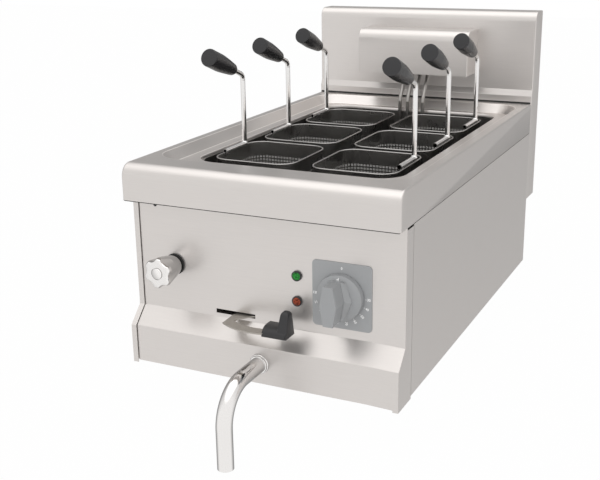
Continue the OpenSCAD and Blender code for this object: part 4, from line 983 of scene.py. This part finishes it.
def make_dial_print():
    """Numbers that read along the dial's radii, turned over on its left half, and a tick inside each."""
    verts, cells, base = [], [], 0
    marks = [("0", 0)]
    for k in range(NUMBER_COUNT):
        marks.append((str(NUMBER_FIRST + NUMBER_RISE * k), NUMBER_START + NUMBER_STEP * k))
    tick = np.array([[TICK_OUTER, TICK_HALF], [TICK_INNER, TICK_HALF],
                     [TICK_INNER, -TICK_HALF], [TICK_OUTER, -TICK_HALF]])
    for text, turn in marks:
        a = math.radians(90 - turn)
        out = np.array([math.cos(a), math.sin(a)])
        lean = a if turn <= 180 else a + math.pi
        if turn == 0:
            lean = 0
        points, faces = word_mesh(text)
        spin = np.array([[math.cos(lean), -math.sin(lean)], [math.sin(lean), math.cos(lean)]])
        points[:, :2] = points[:, :2] @ spin.T + NUMBER_RADIUS * out
        sets = [(points, faces)]
        if turn:
            flat = tick @ np.array([out, [-out[1], out[0]]])
            sets.append((np.column_stack([flat, np.full(len(flat), PRINT_HALF)]), [[3, 0, 1, 2]]))
        for points, faces in sets:
            verts.append(points)
            cells += [[i + base for i in f] for f in faces]
            base += len(points)
    verts = facing_front(np.concatenate(verts), (DIAL_X, PLATE_LO.y, DIAL_Z))
    uvs = np.zeros((len(verts), 2))
    mesh_piece("dial_numbers", verts, cells, uvs, "cabinet", MARK, "grey_plastic", sharp=30)


def make_tap_knob():
    """Tap knob: radius as the smooth least of a flared drum and round scallops; then round, face and cap."""
    length = TAP_HI.y - TAP_LO.y - TAP_CAP_RISE
    rim = TAP_RIM_SHARE * TAP_HALF
    hollow = SCALLOP_RADIUS * rim
    a = np.linspace(0, 2 * math.pi, 180, endpoint=False)
    half = math.pi / TAP_LOBES
    off = (a - SCALLOP_TURN + half) % (2 * half) - half
    rows = [(np.zeros_like(a), 0)]
    for t in np.linspace(0, 1, 26):
        drum = TAP_NECK + (rim - TAP_NECK) * t ** TAP_FLARE_POWER
        far = SCALLOP_FAR * rim + SCALLOP_LEAN * max(0.0, 1 - t / SCALLOP_LEAN_END)
        inside = np.clip(hollow ** 2 - (far * np.sin(off)) ** 2, 0, None)
        dent = np.where(inside > 0, far * np.cos(off) - np.sqrt(inside), 2 * rim)
        radius = -np.log(np.exp(-SCALLOP_BLEND * drum) + np.exp(-SCALLOP_BLEND * dent)) / SCALLOP_BLEND
        rows.append((radius, t * (length - TAP_ROUND)))
    edge = rows[-1][0]
    for b in np.radians(np.linspace(10, 90, 9)):
        shrink = TAP_ROUND_SHARE * TAP_ROUND * (1 - np.cos(b))
        rows.append((edge - shrink, length - TAP_ROUND * (1 - np.sin(b))))
    lip = rows[-1][0]
    for share in TAP_FACE_SHARES:
        rows.append((TAP_CAP + (lip - TAP_CAP) * share, length))
    for inward, rise in TAP_CAP_LINE:
        rows.append((np.full_like(a, TAP_CAP - inward), length + rise))
    rows.append((np.zeros_like(a), length + TAP_CAP_RISE))
    grid = np.stack([np.stack([r * np.cos(a), r * np.sin(a), np.full_like(a, z)], -1) for r, z in rows])
    points = facing_front(grid, TAP_PLACE)
    piece("tap_form", [patch(points, wrap=True)], "tap", TAP_CHROME, "polished_steel", ["tap_knob"], sharp=50)


def make_lever_grip():
    """Lever grip: a quarter-round foot drawn out along X, and a finger lofted through rounded rectangles."""
    x0, y0, z0 = GRIP_LO
    x1, y1, z1 = GRIP_HI
    a = np.radians(np.linspace(180, 90, 12))
    front = np.column_stack([y0 + FOOT_ROUND * (1 + np.cos(a)), z0 + FOOT_HEIGHT * np.sin(a)])
    top = z0 + FOOT_HEIGHT
    loop = np.concatenate([front, [[y1 - FOOT_CHAMFER, top], [y1, top - FOOT_CHAMFER], [y1, z0]]])
    middle = loop.mean(0)
    sections = [(x0 + inward, scale) for inward, scale in FOOT_ROUNDING]
    sections += [(x1 - FOOT_END, 1.0), (x1 - FOOT_END, 0.0)]
    foot = []
    for x, scale in sections:
        foot.append(np.column_stack([np.full(len(loop), x), middle + (loop - middle) * scale]))
    rings = []
    straight = np.linspace(FINGER_FIRST, FINGER_STRAIGHT, 8)
    dome = 1 - (1 - FINGER_STRAIGHT) * np.cos(np.radians(np.linspace(15, 90, 7)))
    for t in np.concatenate([[0.0], straight, dome]):
        z = z0 + (z1 - z0) * t
        over = max(0.0, 1 - (z1 - z) / FINGER_DOME)
        fall = max(math.sqrt(max(0.0, 1 - over ** 2)), FINGER_LEAST)
        left, right = x1 - FINGER_WIDTH + FINGER_NARROW * t, x1 - FINGER_NARROW * t
        near, far = y0 + FINGER_SET + FINGER_LEAN * t, y1 - FINGER_BACK * t
        half_x, half_y = (right - left) / 2 * fall, (far - near) / 2 * fall
        corner = min(FINGER_CORNER, FINGER_CORNER_SHARE * half_x, FINGER_CORNER_SHARE * half_y)
        rings.append(round_ring(half_x, half_y, corner, ((left + right) / 2, (near + far) / 2), z, count=6))
    grids = [patch(np.stack(foot), wrap=True), patch(closed(rings), wrap=True)]
    piece("lever_moulding", grids, "drain", BLACK, "black_plastic", ["lever_grip"], sharp=45)


def make_collar():
    """Collar of the drain pipe: two rounded rings, turned about the pipe."""
    lo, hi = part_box("drain_collar")
    outer = (hi.x - lo.x) / 2
    bore = outer - COLLAR_WALL
    deep = hi.y - lo.y
    profile = np.concatenate([
        [[bore, 0], [outer, 0]],
        arc_points((outer - COLLAR_ROUND, deep / 2 - COLLAR_ROUND), COLLAR_ROUND, 0, 90, count=6),
        arc_points((outer - COLLAR_STEP, deep - COLLAR_EDGE), COLLAR_EDGE, 0, 90, count=6),
        [[bore, deep], [bore, 0]],
    ])
    points = facing_front(turned(profile, count=72), ((lo.x + hi.x) / 2, hi.y, (lo.z + hi.z) / 2))
    piece("collar_rings", [patch(points, wrap=True)], "cabinet", TAP_CHROME, "polished_steel",
          ["drain_collar"])


make_dial_plate()
make_dial_print()
make_thermostat_knob()
make_tap_knob()
make_lever_grip()
make_collar()


def make_camera():
    """Camera at the photograph's place, level apart from a slight roll."""
    ahead = Vector((-math.sin(CAMERA_AZIMUTH) * math.cos(CAMERA_ELEVATION),
                    math.cos(CAMERA_AZIMUTH) * math.cos(CAMERA_ELEVATION), -math.sin(CAMERA_ELEVATION)))
    level = Vector((math.cos(CAMERA_AZIMUTH), math.sin(CAMERA_AZIMUTH), 0))
    right = level * math.cos(CAMERA_ROLL) + level.cross(ahead) * math.sin(CAMERA_ROLL)
    up = right.cross(ahead)
    turn = Matrix((right, up, -ahead)).transposed().to_4x4()
    data = bpy.data.cameras.new("camera")
    data.lens = CAMERA_LENS
    data.sensor_width = CAMERA_SENSOR
    data.clip_end = CAMERA_REACH
    made = add_object("camera", data)
    made.matrix_world = Matrix.Translation(CAMERA_PLACE) @ turn
    bpy.context.scene.camera = made


def make_softbox():
    """Rectangular area lamp above the front, which neither the camera nor a reflection shows."""
    data = bpy.data.lights.new("top_softbox", "AREA")
    data.shape = "RECTANGLE"
    data.size = SOFTBOX_WIDTH
    data.size_y = SOFTBOX_HEIGHT
    data.energy = SOFTBOX_POWER
    made = add_object("top_softbox", data)
    turn = (SOFTBOX_TARGET - SOFTBOX_PLACE).to_track_quat("-Z", "Y").to_matrix().to_4x4()
    made.matrix_world = Matrix.Translation(SOFTBOX_PLACE) @ turn
    made.visible_camera = False
    made.visible_glossy = False


def slope(tree, way, lean, between, levels):
    """A level that rises along a leaning direction, from one level to another between two places on it."""
    along = put(tree, "ShaderNodeVectorMath", {0: way, 1: lean}, operation="DOT_PRODUCT").outputs["Value"]
    return put(tree, "ShaderNodeMapRange", {
        "Value": along, "From Min": between[0], "From Max": between[1],
        "To Min": levels[0], "To Max": levels[1]}).outputs[0]


def make_world():
    """White to the camera; the room that lights the object is bright in front and above, and dim behind."""
    world = bpy.data.worlds.new("studio")
    bpy.context.scene.world = world
    world.use_nodes = True
    tree = world.node_tree
    tree.nodes.clear()
    ray = put(tree, "ShaderNodeLightPath").outputs
    way = put(tree, "ShaderNodeTexCoord").outputs["Generated"]
    room = math_node(tree, "MAXIMUM", slope(tree, way, **ROOM_AHEAD), slope(tree, way, **ROOM_ABOVE))
    light = slope(tree, way, **ROOM_LIGHT)
    fill = put(tree, "ShaderNodeBackground", {"Color": ROOM_COLOUR, "Strength": light}).outputs[0]
    seen = put(tree, "ShaderNodeBackground", {"Color": ROOM_COLOUR, "Strength": room}).outputs[0]
    white = put(tree, "ShaderNodeBackground", {"Color": (1, 1, 1, 1), "Strength": 1.0}).outputs[0]
    glossy = put(tree, "ShaderNodeMixShader", {0: ray["Is Glossy Ray"], 1: fill, 2: seen}).outputs[0]
    direct = math_node(tree, "MAXIMUM", ray["Is Camera Ray"], ray["Is Transmission Ray"])
    both = put(tree, "ShaderNodeMixShader", {0: direct, 1: glossy, 2: white}).outputs[0]
    put(tree, "ShaderNodeOutputWorld", {"Surface": both})


def make_floor():
    """Pale floor just below the object; the camera sees it almost white, with a faint soft shadow."""
    z = cad_bounds[0][2] - FLOOR_GAP
    reach = np.array([-FLOOR_REACH, FLOOR_REACH])
    x, y = np.meshgrid(reach, reach)
    grid = np.stack([x, y, np.full_like(x, z)], -1)
    mesh = bpy.data.meshes.new("floor")
    mesh.from_pydata(grid.reshape(-1, 3).tolist(), [], cells_of(patch(grid)).tolist())
    floor = add_object("floor", mesh)
    floor.visible_glossy = False
    finish = bpy.data.materials.new("pale_floor")
    finish.use_nodes = True
    tree = finish.node_tree
    tree.nodes.clear()
    ray = put(tree, "ShaderNodeLightPath").outputs
    paint = put(tree, "ShaderNodeBsdfDiffuse", {"Color": FLOOR_TONE}).outputs[0]
    glow = put(tree, "ShaderNodeEmission", {"Color": (1, 1, 1, 1), "Strength": 1.0}).outputs[0]
    share = math_node(tree, "MULTIPLY", ray["Is Camera Ray"], FLOOR_GLOW)
    mix = put(tree, "ShaderNodeMixShader", {0: share, 1: paint, 2: glow}).outputs[0]
    put(tree, "ShaderNodeOutputMaterial", {"Surface": mix})
    mesh.materials.append(finish)


make_camera()
make_world()
make_floor()
make_softbox()
bpy.context.scene.view_settings.view_transform = "Standard"
